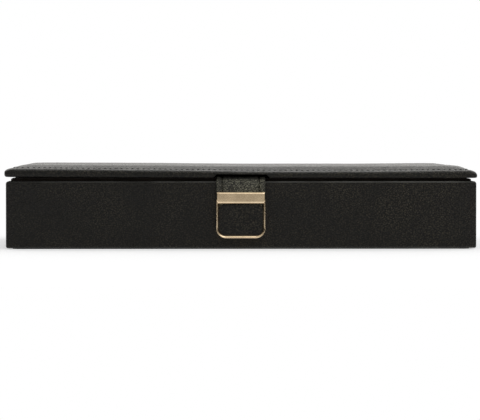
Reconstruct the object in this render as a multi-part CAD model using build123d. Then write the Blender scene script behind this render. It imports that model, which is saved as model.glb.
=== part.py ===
from build123d import *
import os

# Leather-covered cufflink box: a shallow case with 24 compartments, a padded lid on two small
# hinges, a strap clasp that hangs from the lid over the front, and a drawer in the right-hand end.
# Millimetres. X runs along the width, -Y is the front, Z is up, the origin is under the middle.

# --- Driving dimensions -----------------------------------------------------------------------

CASE_WIDTH = 300.0
CASE_DEPTH = 200.0
CASE_HEIGHT = 43.2  # top of the leather rim
CASE_EDGE_RADIUS = 1.8
LEATHER = 1.0
WALL_BOARD = 4.0
BASE_BOARD = 3.0
FELT = 0.6
FELT_INSET = 4.0
TURN_UNDER = 12.0  # leather turned under the base
INFILL_CORNER = 2.0

DRAWER_BAY_HEIGHT = 15.4
SHELF = 2.4
SIDE_GUIDE = 6.5
REAR_STOP = 6.0

LINER = 2.2
NECK_TOP = 45.0  # the liner boards stand above the rim, and locate the lid
TRAY_PAD = 1.6
DIVIDER = 2.0
DIVIDER_TOP = 43.0
DIVIDER_BEVEL = 0.6
SLOT_PLAY = 0.05
COLUMNS = 6
ROWS = 4

LID_OVERHANG = 0.9
LID_BACK = 100.4
LID_UNDERSIDE = 45.2
LID_RIM_TOP = 49.4
LID_CROWN = 3.0
LID_CROWN_REACH = 21.0
LID_BORDER = 7.0  # sewn border round the padding
LID_BORDER_RISE = 0.8
LID_CORNER = 2.5
LID_EDGE_RADIUS = 1.9
LID_BOARD = 2.5
LID_TURN_IN = 0.7
LID_PANEL_GAP = 0.6
LID_PANEL_BOTTOM = 43.6
LID_PANEL_BEVEL = 0.8
CROWN_SECTIONS = 5

STRAP_WIDTH = 31.1
STRAP = 1.6
STRAP_BEND_RADIUS = 3.0
STRAP_BEND_Y = -98.4
STRAP_HINGE_Z = 43.2
BEND_DROP = 1.0  # straight end of the bend below the hinge line
STRAP_ROOT_END = -84.0
STRAP_SEAM_INSET = 3.8
SEAM_WIDTH = 0.8
SEAM_DEPTH = 0.3
NOTCH_TOP_WIDTH = 31.7
NOTCH_BOTTOM_WIDTH = 35.5
NOTCH_HEIGHT = 2.4

PLAQUE_WIDTH = 31.4
PLAQUE_BOTTOM = 6.1
PLAQUE_CORNER = 6.0
RIM_BEVEL = 0.4
RIM_WIDTH = 1.7
RIM_FRONT = -104.0
RIM_BACK = -100.5
BAR_BOTTOM = 28.6
BAR_TOP = 35.9
BAR_FRONT = -104.5
BAR_BEVEL = 0.5
INLAY_SET_BACK = 0.6
INLAY_TOP_CORNER = 3.0
TONGUE_STEP_Z = 32.2  # the strap narrows here, behind the bar, to pass inside the rim
FIT = 0.1
MAGNET_RADIUS = 5.0
MAGNET_Z = 18.0
MAGNET_COVER = 0.4  # leather left in front of the magnet
STRIKER_RADIUS = 6.0
STRIKER = 1.5

HINGE_X = 98.0
HINGE_LENGTH = 30.0
HINGE_MIDDLE = 10.0
HINGE_AXIS_Y = 102.9
HINGE_AXIS_Z = 44.2
KNUCKLE_RADIUS = 1.9
PIN_RADIUS = 1.0
PIN_PLAY = 0.06
PIN_END = 0.2  # pin standing out of each outer knuckle
LEAF = 0.9
LEAF_FRONT = 95.4
LEAF_BACK = 100.8
KNUCKLE_PLAY = 0.1
NAIL_Y = 97.3
NAIL_SPREAD = 9.5
NAIL_RADIUS = 0.9
NAIL_LENGTH = 4.0
LEAF_CORNER = 1.2

DRAWER_PLAY = 0.4
DRAWER_FRONT_PLAY = 0.2
DRAWER_BOARD = 2.0
DRAWER_SIDE = 2.5
DRAWER_SIDE_TOP = 17.2
DRAWER_DIVIDER_TOP = 16.4
DRAWER_LINING = 1.0
SLIDE_STRIP = 0.5
STRIP_WIDTH = 8.0
FACE_BEVEL = 0.6

PULL_WIDTH = 22.0
PULL_LENGTH = 8.6
PULL_THICKNESS = 1.0
PULL_HINGE_Z = 16.0
PULL_CORNER = 3.0
PULL_SET_BACK = 0.2
RECESS_DEPTH = 1.3
RECESS_MARGIN = 1.2
RECESS_CORNER = 2.0
RECESS_BOTTOM = 6.2

# --- Places worked out from them --------------------------------------------------------------

CASE_X = CASE_WIDTH / 2
CASE_Y = CASE_DEPTH / 2
BOARD_X = CASE_X - LEATHER
BOARD_Y = CASE_Y - LEATHER
INNER_X = BOARD_X - WALL_BOARD
INNER_Y = BOARD_Y - WALL_BOARD
RIM_Z = CASE_HEIGHT - LEATHER
BASE_Z = FELT + LEATHER
FLOOR_Z = BASE_Z + BASE_BOARD
SHELF_Z = FLOOR_Z + DRAWER_BAY_HEIGHT
LINER_Z = SHELF_Z + SHELF
PAD_TOP_Z = LINER_Z + TRAY_PAD
TRAY_X = INNER_X - LINER
TRAY_Y = INNER_Y - LINER
BAY_Y = INNER_Y - SIDE_GUIDE
BAY_END_X = -INNER_X + REAR_STOP
LID_X = CASE_X + LID_OVERHANG
LID_FRONT = -CASE_Y - LID_OVERHANG
LID_BOARD_Z = LID_UNDERSIDE + LID_TURN_IN
LID_BOARD_TOP = LID_BOARD_Z + LID_BOARD
STRAP_Y = STRAP_BEND_Y - STRAP_BEND_RADIUS
STRAP_Z = STRAP_HINGE_Z + STRAP_BEND_RADIUS
STRAP_OUT = STRAP_Y - STRAP / 2
STRAP_IN = STRAP_Y + STRAP / 2
TONGUE_TOP = STRAP_HINGE_Z - BEND_DROP
DRAWER_Y = BAY_Y - DRAWER_PLAY
DRAWER_Z = FLOOR_Z + SLIDE_STRIP + FIT
DRAWER_FRONT_Z = (FLOOR_Z + DRAWER_PLAY, SHELF_Z - DRAWER_PLAY)
DRAWER_FRONT_X = (INNER_X + DRAWER_FRONT_PLAY, BOARD_X)
DRAWER_BACK_X = BAY_END_X + DRAWER_PLAY
LINING_TOP_Z = DRAWER_Z + DRAWER_BOARD + DRAWER_LINING
RECESS_X = CASE_X - RECESS_DEPTH
PULL_X = CASE_X - PULL_SET_BACK - PULL_THICKNESS / 2


# --- Shared shapes ----------------------------------------------------------------------------


def block(x, y, z):
    """Box between a low and a high place on each axis."""
    lows, highs = zip(x, y, z)
    size = [high - low for low, high in zip(lows, highs)]
    centre = [(high + low) / 2 for low, high in zip(lows, highs)]
    return Pos(*centre) * Box(*size)


def both(half):
    """Low and high places either side of the middle."""
    return (-half, half)


def rod(axis, centre, radius, length):
    """Round rod about a point, along X, Y or Z."""
    turn = {"x": Rot(0, 90, 0), "y": Rot(90, 0, 0), "z": Rot(0, 0, 0)}[axis]
    return Pos(*centre) * turn * Cylinder(radius, length)


def slab(width, depth, corner, z, centre_y=0.0):
    """Upright slab with rounded corners in plan."""
    outline = RectangleRounded(width, depth, corner)
    return Pos(0, centre_y, z[0]) * extrude(outline, z[1] - z[0])


def tab(width, z, corner, y):
    """Plate facing the front, with its two bottom corners rounded."""
    low, high = z
    sheet = Pos(0, (low + high) / 2) * Rectangle(width, high - low)
    feet = sheet.vertices().group_by(Axis.Y)[0]
    return Pos(0, y[1], 0) * Rot(90, 0, 0) * extrude(fillet(feet, corner), y[1] - y[0])


def bars_along_x(profile, width):
    """Profile drawn with its own X as Y and its own Y as Z, carried along X either side of the middle."""
    return Pos(-width / 2, 0, 0) * extrude(Plane.YZ * profile, width)


def group(solids):
    """Several separate solids kept as one piece of the parts list."""
    return Compound(children=[solid for item in solids for solid in item.solids()])


# --- Case: boards, leather and felt -----------------------------------------------------------


def leather_wrap():
    """Skin over the boards: sides, rim and the turn-under, open over the tray and at the drawer."""
    skin = block(both(CASE_X), both(CASE_Y), (FELT, CASE_HEIGHT))
    skin = chamfer(skin.edges().group_by(Axis.Z)[0], CASE_EDGE_RADIUS / 2)
    skin = fillet(skin.edges().filter_by(Axis.Z), CASE_EDGE_RADIUS)
    skin = fillet(skin.edges().group_by(Axis.Z)[-1], CASE_EDGE_RADIUS)
    skin -= block(both(BOARD_X), both(BOARD_Y), (BASE_Z, RIM_Z))
    skin -= block(both(INNER_X), both(INNER_Y), (RIM_Z, CASE_HEIGHT))
    skin -= block(both(CASE_X - TURN_UNDER), both(CASE_Y - TURN_UNDER), (FELT, BASE_Z))
    return skin - block((BOARD_X, CASE_X), both(BAY_Y), (FLOOR_Z, SHELF_Z))


def base_felt():
    width = CASE_WIDTH - 2 * FELT_INSET
    depth = CASE_DEPTH - 2 * FELT_INSET
    return slab(width, depth, FELT_INSET, (0, FELT))


def base_infill():
    """Card that levels the underside inside the turned leather."""
    width = CASE_WIDTH - 2 * TURN_UNDER - 2 * FIT
    depth = CASE_DEPTH - 2 * TURN_UNDER - 2 * FIT
    return slab(width, depth, INFILL_CORNER, (FELT, BASE_Z))


def base_board():
    return block(both(BOARD_X), both(BOARD_Y), (BASE_Z, FLOOR_Z))


def front_wall():
    wall = block(both(BOARD_X), (-BOARD_Y, -INNER_Y), (FLOOR_Z, RIM_Z))
    return wall - striker_plate()


def back_wall():
    return block(both(BOARD_X), (INNER_Y, BOARD_Y), (FLOOR_Z, RIM_Z))


def left_wall():
    return block((-BOARD_X, -INNER_X), both(INNER_Y), (FLOOR_Z, RIM_Z))


def end_rail():
    """Right-hand end wall above the drawer."""
    return block((INNER_X, BOARD_X), both(INNER_Y), (SHELF_Z, RIM_Z))


def side_guide(side):
    """Strip beside the drawer: it guides the drawer, carries the shelf and ends as the opening's post."""
    y = sorted((side * BAY_Y, side * INNER_Y))
    return block((-INNER_X, BOARD_X), y, (FLOOR_Z, SHELF_Z))


def rear_stop():
    return block((-INNER_X, BAY_END_X), both(BAY_Y), (FLOOR_Z, SHELF_Z))


def slide_strips():
    """Two thin strips that the drawer runs on."""
    inner = DRAWER_Y - STRIP_WIDTH
    strips = []
    for side in (-1, 1):
        y = sorted((side * inner, side * DRAWER_Y))
        strips.append(block((BAY_END_X, INNER_X), y, (FLOOR_Z, FLOOR_Z + SLIDE_STRIP)))
    return group(strips)


def shelf():
    return block(both(INNER_X), both(INNER_Y), (SHELF_Z, LINER_Z))


def striker_plate():
    """Steel disc under the front leather, which the clasp's magnet holds to."""
    y = -BOARD_Y + STRIKER / 2
    return rod("y", (0, y, MAGNET_Z), STRIKER_RADIUS, STRIKER)


# --- Tray: liner boards, pad and the half-lapped compartment grid ---------------------------------


def liner_board(half_length, distance, turn):
    """Suede-covered board with mitred ends and a rounded top, standing against one wall."""
    outer = half_length
    inner = half_length - LINER
    near = distance - LINER
    outline = Polygon((-outer, -distance), (outer, -distance), (inner, -near), (-inner, -near), align=None)
    board = Pos(0, 0, LINER_Z) * extrude(outline, NECK_TOP - LINER_Z)
    top = board.edges().group_by(Axis.Z)[-1].filter_by(Axis.X)
    return Rot(0, 0, turn) * fillet(top, LINER / 3)


def tray_pad():
    return block(both(TRAY_X), both(TRAY_Y), (LINER_Z, PAD_TOP_Z))


def evenly(half, count):
    """Middles of the dividers that part a width into equal compartments."""
    pitch = (2 * half + DIVIDER) / count
    return [-half - DIVIDER / 2 + pitch * (i + 1) for i in range(count - 1)]


def divider(half_length, crossings, slots_from_top):
    """Divider along X with a bevelled top, slotted to half its height where the others cross."""
    strip = block(both(half_length - FIT), both(DIVIDER / 2), (PAD_TOP_Z, DIVIDER_TOP))
    strip = chamfer(strip.edges().group_by(Axis.Z)[-1].filter_by(Axis.X), DIVIDER_BEVEL)
    middle = (PAD_TOP_Z + DIVIDER_TOP) / 2
    slot_z = (middle, DIVIDER_TOP) if slots_from_top else (PAD_TOP_Z, middle)
    for x in crossings:
        slot = (x - DIVIDER / 2 - SLOT_PLAY, x + DIVIDER / 2 + SLOT_PLAY)
        strip -= block(slot, both(DIVIDER), slot_z)
    return strip


def long_dividers():
    plain = divider(TRAY_X, evenly(TRAY_X, COLUMNS), True)
    return [Pos(0, y, 0) * plain for y in evenly(TRAY_Y, ROWS)]


def cross_dividers():
    plain = Rot(0, 0, 90) * divider(TRAY_Y, evenly(TRAY_Y, ROWS), False)
    return [Pos(x, 0, 0) * plain for x in evenly(TRAY_X, COLUMNS)]


# --- Hinges -----------------------------------------------------------------------------------


def knuckle(x, leaf_z, bore):
    """Rolled barrel on the hinge axis, with the neck that joins it to its leaf."""
    length = x[1] - x[0]
    centre = (sum(x) / 2, HINGE_AXIS_Y, HINGE_AXIS_Z)
    barrel = rod("x", centre, KNUCKLE_RADIUS, length)
    barrel += block(x, (LEAF_BACK, HINGE_AXIS_Y), leaf_z)
    return barrel - rod("x", centre, bore, length + 2)


def leaf_plate(leaf_z):
    plate = block(both(HINGE_LENGTH / 2), (LEAF_FRONT, LEAF_BACK), leaf_z)
    corners = plate.edges().filter_by(Axis.Z).group_by(Axis.Y)[0]
    return fillet(corners, LEAF_CORNER)


def hinge_nails(head_z, down):
    """Flat-headed nails through the leaves into the board, heads level with the leaf."""
    middle = head_z - NAIL_LENGTH / 2 if down else head_z + NAIL_LENGTH / 2
    nails = []
    for side in (-1, 1):
        for end in (-1, 1):
            x = side * HINGE_X + end * NAIL_SPREAD
            nails.append(rod("z", (x, NAIL_Y, middle), NAIL_RADIUS, NAIL_LENGTH))
    return group(nails)


def case_leaf():
    """Leaf on the case's rim with the two outer knuckles, which grip the pin."""
    leaf_z = (CASE_HEIGHT, CASE_HEIGHT + LEAF)
    half, middle = HINGE_LENGTH / 2, HINGE_MIDDLE / 2
    leaf = leaf_plate(leaf_z)
    for x in ((-half, -middle), (middle, half)):
        leaf += knuckle(x, leaf_z, PIN_RADIUS)
    return leaf


def lid_leaf():
    """Leaf under the lid with the middle knuckle, which turns on the pin."""
    leaf_z = (LID_UNDERSIDE - LEAF, LID_UNDERSIDE)
    reach = HINGE_MIDDLE / 2 - KNUCKLE_PLAY
    return leaf_plate(leaf_z) + knuckle(both(reach), leaf_z, PIN_RADIUS + PIN_PLAY)


def hinge_pin():
    centre = (0, HINGE_AXIS_Y, HINGE_AXIS_Z)
    return rod("x", centre, PIN_RADIUS, HINGE_LENGTH + 2 * PIN_END)


# --- Lid --------------------------------------------------------------------------------------


def crown_profile(edge_radius):
    """How far each section is drawn in, and its height above the edge.

    A rounded edge, then a border with a slight even slope, and over it a swell that at the share k
    of the reach is k * k * (3 - 2 * k) of the padding's height.
    """
    profile = [(0, -edge_radius), (0.3 * edge_radius, -0.3 * edge_radius)] if edge_radius else []
    for i in range(CROWN_SECTIONS + 1):
        share = i / CROWN_SECTIONS
        drawn_in = edge_radius + (LID_CROWN_REACH - edge_radius) * share
        slope = LID_BORDER_RISE * min((drawn_in - edge_radius) / (LID_BORDER - edge_radius), 1)
        swell = (LID_CROWN - LID_BORDER_RISE) * share * share * (3 - 2 * share)
        profile.append((drawn_in, slope + swell))
    return profile


def crowned_slab(inset, low, rim_top, edge_radius):
    """Padded slab with an upright edge, and a top that rises to a flat middle."""
    width = 2 * (LID_X - inset)
    depth = LID_BACK - LID_FRONT - 2 * inset
    centre_y = (LID_BACK + LID_FRONT) / 2
    edge = slab(width, depth, LID_CORNER, (low, rim_top - edge_radius), centre_y)
    sections = []
    for drawn_in, height in crown_profile(edge_radius):
        outline = RectangleRounded(
            width - 2 * drawn_in, depth - 2 * drawn_in, LID_CORNER + drawn_in / 2
        )
        sections.append(Pos(0, centre_y, rim_top + height) * outline)
    return edge + loft(sections, ruled=True)


def strap_pocket():
    """Space in the lid's underside for the strap's glued end."""
    half = STRAP_WIDTH / 2 + FIT
    return block(both(half), (LID_FRONT, STRAP_ROOT_END), (LID_UNDERSIDE, STRAP_Z + STRAP / 2))


def front_notch():
    """Relief in the lid's front edge over the strap, wider at its foot."""
    top, bottom = NOTCH_TOP_WIDTH / 2, NOTCH_BOTTOM_WIDTH / 2
    outline = Polygon(
        (-bottom, LID_UNDERSIDE),
        (bottom, LID_UNDERSIDE),
        (top, LID_UNDERSIDE + NOTCH_HEIGHT),
        (-top, LID_UNDERSIDE + NOTCH_HEIGHT),
        align=None,
    )
    depth = STRAP_BEND_Y - LID_FRONT
    return Pos(0, STRAP_BEND_Y, 0) * Rot(90, 0, 0) * extrude(outline, depth)


def lid_board():
    width = 2 * (LID_X - LEATHER)
    depth = LID_BACK - LID_FRONT - 2 * LEATHER
    z = (LID_BOARD_Z, LID_BOARD_TOP)
    board = slab(width, depth, LID_CORNER, z, (LID_BACK + LID_FRONT) / 2)
    return board - strap_pocket() - front_notch()


def inside_of_cover():
    """Everything the cover is drawn over: board and foam together."""
    return crowned_slab(LEATHER, LID_BOARD_Z, LID_RIM_TOP - LEATHER, 0)


def lid_foam():
    zone = block(both(LID_X), (LID_FRONT, LID_BACK), (LID_BOARD_Z, LID_BOARD_TOP))
    return inside_of_cover() - zone


def lid_cover():
    """Leather over the foam, down the edge and turned in under the board."""
    cover = crowned_slab(0, LID_UNDERSIDE, LID_RIM_TOP, LID_EDGE_RADIUS)
    cover = chamfer(cover.edges().group_by(Axis.Z)[0], LID_TURN_IN)
    cover -= inside_of_cover()
    cover -= block(both(TRAY_X), both(TRAY_Y), (LID_UNDERSIDE, LID_BOARD_Z))
    return cover - strap_pocket() - front_notch()


def lid_panel():
    """Suede-covered panel under the lid that drops inside the neck."""
    x, y = TRAY_X - LID_PANEL_GAP, TRAY_Y - LID_PANEL_GAP
    panel = block(both(x), both(y), (LID_PANEL_BOTTOM, LID_BOARD_Z))
    panel = chamfer(panel.edges().group_by(Axis.Z)[0], LID_PANEL_BEVEL)
    return panel - strap_pocket()


# --- Strap and clasp --------------------------------------------------------------------------


def seams(shape, z):
    """Two sewn channels down the outer face of the strap."""
    for side in (-1, 1):
        x = side * (STRAP_WIDTH / 2 - STRAP_SEAM_INSET)
        groove = (x - SEAM_WIDTH / 2, x + SEAM_WIDTH / 2)
        shape -= block(groove, (STRAP_OUT, STRAP_OUT + SEAM_DEPTH), z)
    return shape


def strap_root():
    z = (STRAP_Z - STRAP / 2, STRAP_Z + STRAP / 2)
    return block(both(STRAP_WIDTH / 2), (STRAP_BEND_Y, STRAP_ROOT_END), z)


def strap_bend():
    """Quarter bend from the lid's underside down in front of the case."""
    turn = Circle(STRAP_BEND_RADIUS + STRAP / 2) - Circle(STRAP_BEND_RADIUS - STRAP / 2)
    reach = STRAP_BEND_RADIUS + STRAP
    quarter = Pos(-reach / 2, reach / 2) * Rectangle(reach, reach)
    turn = Pos(STRAP_BEND_Y, STRAP_HINGE_Z) * (turn & quarter)
    turn += Pos(STRAP_Y, STRAP_HINGE_Z - BEND_DROP / 2) * Rectangle(STRAP, BEND_DROP)
    return bars_along_x(turn, STRAP_WIDTH)


def strap_tongue():
    """Hanging part of the strap: narrower inside the rim, and pocketed for the magnet."""
    y = (STRAP_OUT, STRAP_IN)
    inside = PLAQUE_WIDTH - 2 * RIM_WIDTH - 2 * FIT
    foot = PLAQUE_BOTTOM + RIM_WIDTH + FIT
    tongue = block(both(STRAP_WIDTH / 2), y, (TONGUE_STEP_Z, TONGUE_TOP - FIT))
    tongue += tab(inside, (foot, TONGUE_STEP_Z), PLAQUE_CORNER - RIM_WIDTH, y)
    return seams(tongue, (BAR_TOP, TONGUE_TOP)) - clasp_magnet()


def clasp_magnet():
    thickness = STRAP - MAGNET_COVER
    return rod("y", (0, STRAP_IN - thickness / 2, MAGNET_Z), MAGNET_RADIUS, thickness)


def clasp_frame():
    """One cast piece: a U-shaped rim round the strap's end, closed by a broad bar."""
    y = (RIM_FRONT, RIM_BACK)
    rim = tab(PLAQUE_WIDTH, (PLAQUE_BOTTOM, TONGUE_STEP_Z - FIT), PLAQUE_CORNER, y)
    rim = chamfer(rim.edges().group_by(Axis.Y)[0], RIM_BEVEL)
    hole = PLAQUE_WIDTH - 2 * RIM_WIDTH
    rim -= tab(hole, (PLAQUE_BOTTOM + RIM_WIDTH, TONGUE_STEP_Z), PLAQUE_CORNER - RIM_WIDTH, y)
    bar = block(both(STRAP_WIDTH / 2), (BAR_FRONT, STRAP_OUT), (BAR_BOTTOM, BAR_TOP))
    bar = chamfer(bar.edges().group_by(Axis.Y)[0], BAR_BEVEL)
    return rim + bar


def clasp_inlay():
    """Leather inlay set back inside the rim, with softened top corners under the bar."""
    inside = PLAQUE_WIDTH - 2 * RIM_WIDTH - 2 * FIT
    z = (PLAQUE_BOTTOM + RIM_WIDTH + FIT, BAR_BOTTOM - FIT)
    inlay = tab(inside, z, PLAQUE_CORNER - RIM_WIDTH, (RIM_FRONT + INLAY_SET_BACK, STRAP_OUT))
    crown = inlay.edges().filter_by(Axis.Y).group_by(Axis.Z)[-1]
    return fillet(crown, INLAY_TOP_CORNER)


# --- Drawer -----------------------------------------------------------------------------------


def pull_recess(lining):
    """Shallow recess for the pull, as large as it is with leather of this thickness taken out of it."""
    top = PULL_HINGE_Z + RECESS_MARGIN
    sheet = Rectangle(top - RECESS_BOTTOM, PULL_WIDTH + 2 * RECESS_MARGIN)
    sheet = offset(fillet(sheet.vertices(), RECESS_CORNER), lining)
    place = Pos(RECESS_X - lining, 0, (top + RECESS_BOTTOM) / 2) * Rot(0, 90, 0)
    return place * extrude(sheet, RECESS_DEPTH + lining)


def pull_slit():
    """Slit through the drawer front that the pull's end is glued in."""
    z = (PULL_HINGE_Z - PULL_THICKNESS / 2, PULL_HINGE_Z + PULL_THICKNESS / 2)
    return block((DRAWER_FRONT_X[0], RECESS_X), both(PULL_WIDTH / 2), z)


def drawer_front():
    z = (DRAWER_FRONT_Z[0] + LEATHER / 2, DRAWER_FRONT_Z[1] - LEATHER / 2)
    front = block(DRAWER_FRONT_X, both(DRAWER_Y - LEATHER / 2), z)
    return front - pull_recess(LEATHER / 2) - pull_slit()


def drawer_face():
    """Leather over the drawer front and round its four edges, pressed into the pull's recess."""
    face = block((DRAWER_FRONT_X[0], CASE_X), both(DRAWER_Y), DRAWER_FRONT_Z)
    face = chamfer(face.edges().group_by(Axis.X)[-1], FACE_BEVEL)
    return face - drawer_front() - pull_recess(0) - pull_slit()


def drawer_bottom():
    z = (DRAWER_Z, DRAWER_Z + DRAWER_BOARD)
    return block((DRAWER_BACK_X, DRAWER_FRONT_X[0]), both(DRAWER_Y), z)


def drawer_side(side):
    y = sorted((side * (DRAWER_Y - DRAWER_SIDE), side * DRAWER_Y))
    board = block((DRAWER_BACK_X, DRAWER_FRONT_X[0]), y, (DRAWER_Z + DRAWER_BOARD, DRAWER_SIDE_TOP))
    return chamfer(board.edges().group_by(Axis.Z)[-1].filter_by(Axis.X), DRAWER_SIDE / 4)


def drawer_end():
    x = (DRAWER_BACK_X, DRAWER_BACK_X + DRAWER_SIDE)
    board = block(x, both(DRAWER_Y - DRAWER_SIDE), (DRAWER_Z + DRAWER_BOARD, DRAWER_SIDE_TOP))
    return chamfer(board.edges().group_by(Axis.Z)[-1].filter_by(Axis.Y), DRAWER_SIDE / 4)


def drawer_lining():
    x = (DRAWER_BACK_X + DRAWER_SIDE, DRAWER_FRONT_X[0])
    return block(x, both(DRAWER_Y - DRAWER_SIDE), (DRAWER_Z + DRAWER_BOARD, LINING_TOP_Z))


def drawer_divider(side):
    x = (DRAWER_BACK_X + DRAWER_SIDE + FIT, DRAWER_FRONT_X[0] - FIT)
    y = side * (DRAWER_Y - DRAWER_SIDE + DIVIDER / 2) / 3
    strip = block(x, (y - DIVIDER / 2, y + DIVIDER / 2), (LINING_TOP_Z, DRAWER_DIVIDER_TOP))
    return chamfer(strip.edges().group_by(Axis.Z)[-1].filter_by(Axis.X), DIVIDER_BEVEL)


def pull_root():
    """End of the leather pull, glued in its slit."""
    z = (PULL_HINGE_Z - PULL_THICKNESS / 2, PULL_HINGE_Z + PULL_THICKNESS / 2)
    return block((DRAWER_FRONT_X[0], RECESS_X - FIT), both(PULL_WIDTH / 2), z)


def pull_tab():
    """Leather tab that hangs in the recess and lifts about its top edge."""
    sheet = Pos(0, -PULL_LENGTH / 2) * Rectangle(PULL_WIDTH, PULL_LENGTH)
    sheet = fillet(sheet.vertices().group_by(Axis.Y)[0], PULL_CORNER)
    low = PULL_X - PULL_THICKNESS / 2
    plate = extrude(Plane.YZ * sheet, PULL_THICKNESS)
    edge = rod("y", (PULL_THICKNESS / 2, 0, 0), PULL_THICKNESS / 2, PULL_WIDTH)
    return Pos(low, 0, PULL_HINGE_Z) * (plate + edge)


# --- Parts list -------------------------------------------------------------------------------


def parts():
    pieces = {
        "leather_wrap": leather_wrap(),
        "base_felt": base_felt(),
        "base_infill": base_infill(),
        "base_board": base_board(),
        "front_wall": front_wall(),
        "back_wall": back_wall(),
        "left_wall": left_wall(),
        "end_rail": end_rail(),
        "front_guide": side_guide(-1),
        "back_guide": side_guide(1),
        "rear_stop": rear_stop(),
        "slide_strips": slide_strips(),
        "shelf": shelf(),
        "striker_plate": striker_plate(),
        "front_liner": liner_board(INNER_X, INNER_Y, 0),
        "right_liner": liner_board(INNER_Y, INNER_X, 90),
        "back_liner": liner_board(INNER_X, INNER_Y, 180),
        "left_liner": liner_board(INNER_Y, INNER_X, 270),
        "tray_pad": tray_pad(),
        "lid_board": lid_board(),
        "lid_foam": lid_foam(),
        "lid_cover": lid_cover(),
        "lid_panel": lid_panel(),
        "strap_root": strap_root(),
        "strap_bend": strap_bend(),
        "strap_tongue": strap_tongue(),
        "clasp_frame": clasp_frame(),
        "clasp_inlay": clasp_inlay(),
        "clasp_magnet": clasp_magnet(),
        "case_hinge_nails": hinge_nails(CASE_HEIGHT + LEAF, True),
        "lid_hinge_nails": hinge_nails(LID_UNDERSIDE - LEAF, False),
        "drawer_front": drawer_front(),
        "drawer_face": drawer_face(),
        "drawer_bottom": drawer_bottom(),
        "drawer_front_side": drawer_side(-1),
        "drawer_back_side": drawer_side(1),
        "drawer_end": drawer_end(),
        "drawer_lining": drawer_lining(),
        "drawer_front_divider": drawer_divider(-1),
        "drawer_back_divider": drawer_divider(1),
        "pull_root": pull_root(),
        "pull_tab": pull_tab(),
    }
    for number, solid in enumerate(long_dividers(), 1):
        pieces[f"long_divider_{number}"] = solid
    for number, solid in enumerate(cross_dividers(), 1):
        pieces[f"cross_divider_{number}"] = solid
    for name, side in (("left", -1), ("right", 1)):
        place = Pos(side * HINGE_X, 0, 0)
        pieces[f"{name}_case_leaf"] = place * case_leaf() - hinge_nails(CASE_HEIGHT + LEAF, True)
        pieces[f"{name}_lid_leaf"] = place * lid_leaf() - hinge_nails(LID_UNDERSIDE - LEAF, False)
        pieces[f"{name}_hinge_pin"] = place * hinge_pin()
    return pieces


os.makedirs("parts", exist_ok=True)
for name, shape in parts().items():
    export_step(shape, f"parts/{name}.step")
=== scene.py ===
import math

import bmesh
import bpy
import numpy as np
from bpy.props import FloatProperty, FloatVectorProperty, PointerProperty
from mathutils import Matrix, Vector


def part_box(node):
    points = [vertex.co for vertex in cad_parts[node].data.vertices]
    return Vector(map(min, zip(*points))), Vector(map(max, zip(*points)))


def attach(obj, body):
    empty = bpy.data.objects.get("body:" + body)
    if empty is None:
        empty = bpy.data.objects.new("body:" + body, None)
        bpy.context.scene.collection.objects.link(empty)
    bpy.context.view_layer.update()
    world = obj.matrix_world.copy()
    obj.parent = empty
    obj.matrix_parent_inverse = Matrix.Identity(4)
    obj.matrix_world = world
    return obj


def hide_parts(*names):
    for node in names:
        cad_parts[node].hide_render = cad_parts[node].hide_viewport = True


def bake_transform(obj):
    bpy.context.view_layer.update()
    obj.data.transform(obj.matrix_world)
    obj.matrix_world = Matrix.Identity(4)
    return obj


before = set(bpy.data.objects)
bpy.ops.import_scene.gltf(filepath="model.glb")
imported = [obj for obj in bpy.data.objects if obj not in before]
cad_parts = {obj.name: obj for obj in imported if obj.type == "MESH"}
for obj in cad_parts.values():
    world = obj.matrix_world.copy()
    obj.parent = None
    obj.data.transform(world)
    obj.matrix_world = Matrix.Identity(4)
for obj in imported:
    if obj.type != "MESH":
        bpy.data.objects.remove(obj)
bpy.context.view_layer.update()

bl_info = {
    "name": "Cufflink box finishes",
    "version": (1, 0, 0),
    "blender": (4, 5, 0),
    "location": "View3D > Sidebar > Cufflink Box",
    "description": "Leather, suede, stitching, metal and studio for the packed cufflink box",
    "category": "Object",
}

MM = 0.001


def cad_box(node):
    """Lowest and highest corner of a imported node, in millimetres."""
    return tuple(np.array(corner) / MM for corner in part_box(node))


# --- Settings that a user would change ------------------------------------------------------------


def length(name, description, default):
    """A length in metres, shown in the scene's own unit."""
    return FloatProperty(
        name=name, description=description, default=default, unit="LENGTH", subtype="DISTANCE", precision=5
    )


def share(name, description, default):
    return FloatProperty(
        name=name, description=description, default=default, min=0.0, max=1.0, subtype="FACTOR"
    )


def colour(name, description, default):
    return FloatVectorProperty(
        name=name, description=description, default=default, size=3, min=0.0, max=1.0, subtype="COLOR"
    )


class LidSettings(bpy.types.PropertyGroup):
    puff: length("Puff", "How far the lid's padding swells above its seam", 0.0006)
    stitch_inset: length("Stitch inset", "Distance of the stitches from the lid's edge", 0.0065)
    stitch_pitch: length("Stitch pitch", "Distance from one stitch to the next", 0.0035)
    stitch_length: length("Stitch length", "Length of thread that shows in one stitch", 0.0025)
    thread: length("Thread", "Thickness of the sewing thread", 0.0006)
    seam_depth: length("Seam depth", "How far the thread draws the leather in", 0.00018)
    lean: share("Lean", "How much the lid is warped up, most of all at its front left", 1.0)


class StrapSettings(bpy.types.PropertyGroup):
    side: length("Side", "How far right of the middle the strap and clasp hang", -0.0005)
    seam_inset: length("Seam inset", "Distance of the sewn channels from the strap's edges", 0.0038)
    seam_depth: length("Seam depth", "Depth of the sewn channels", 0.0009)
    stitch_pitch: length("Stitch pitch", "Distance from one stitch to the next", 0.0026)
    stitch_length: length("Stitch length", "Length of thread that shows in one stitch", 0.0018)


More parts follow.
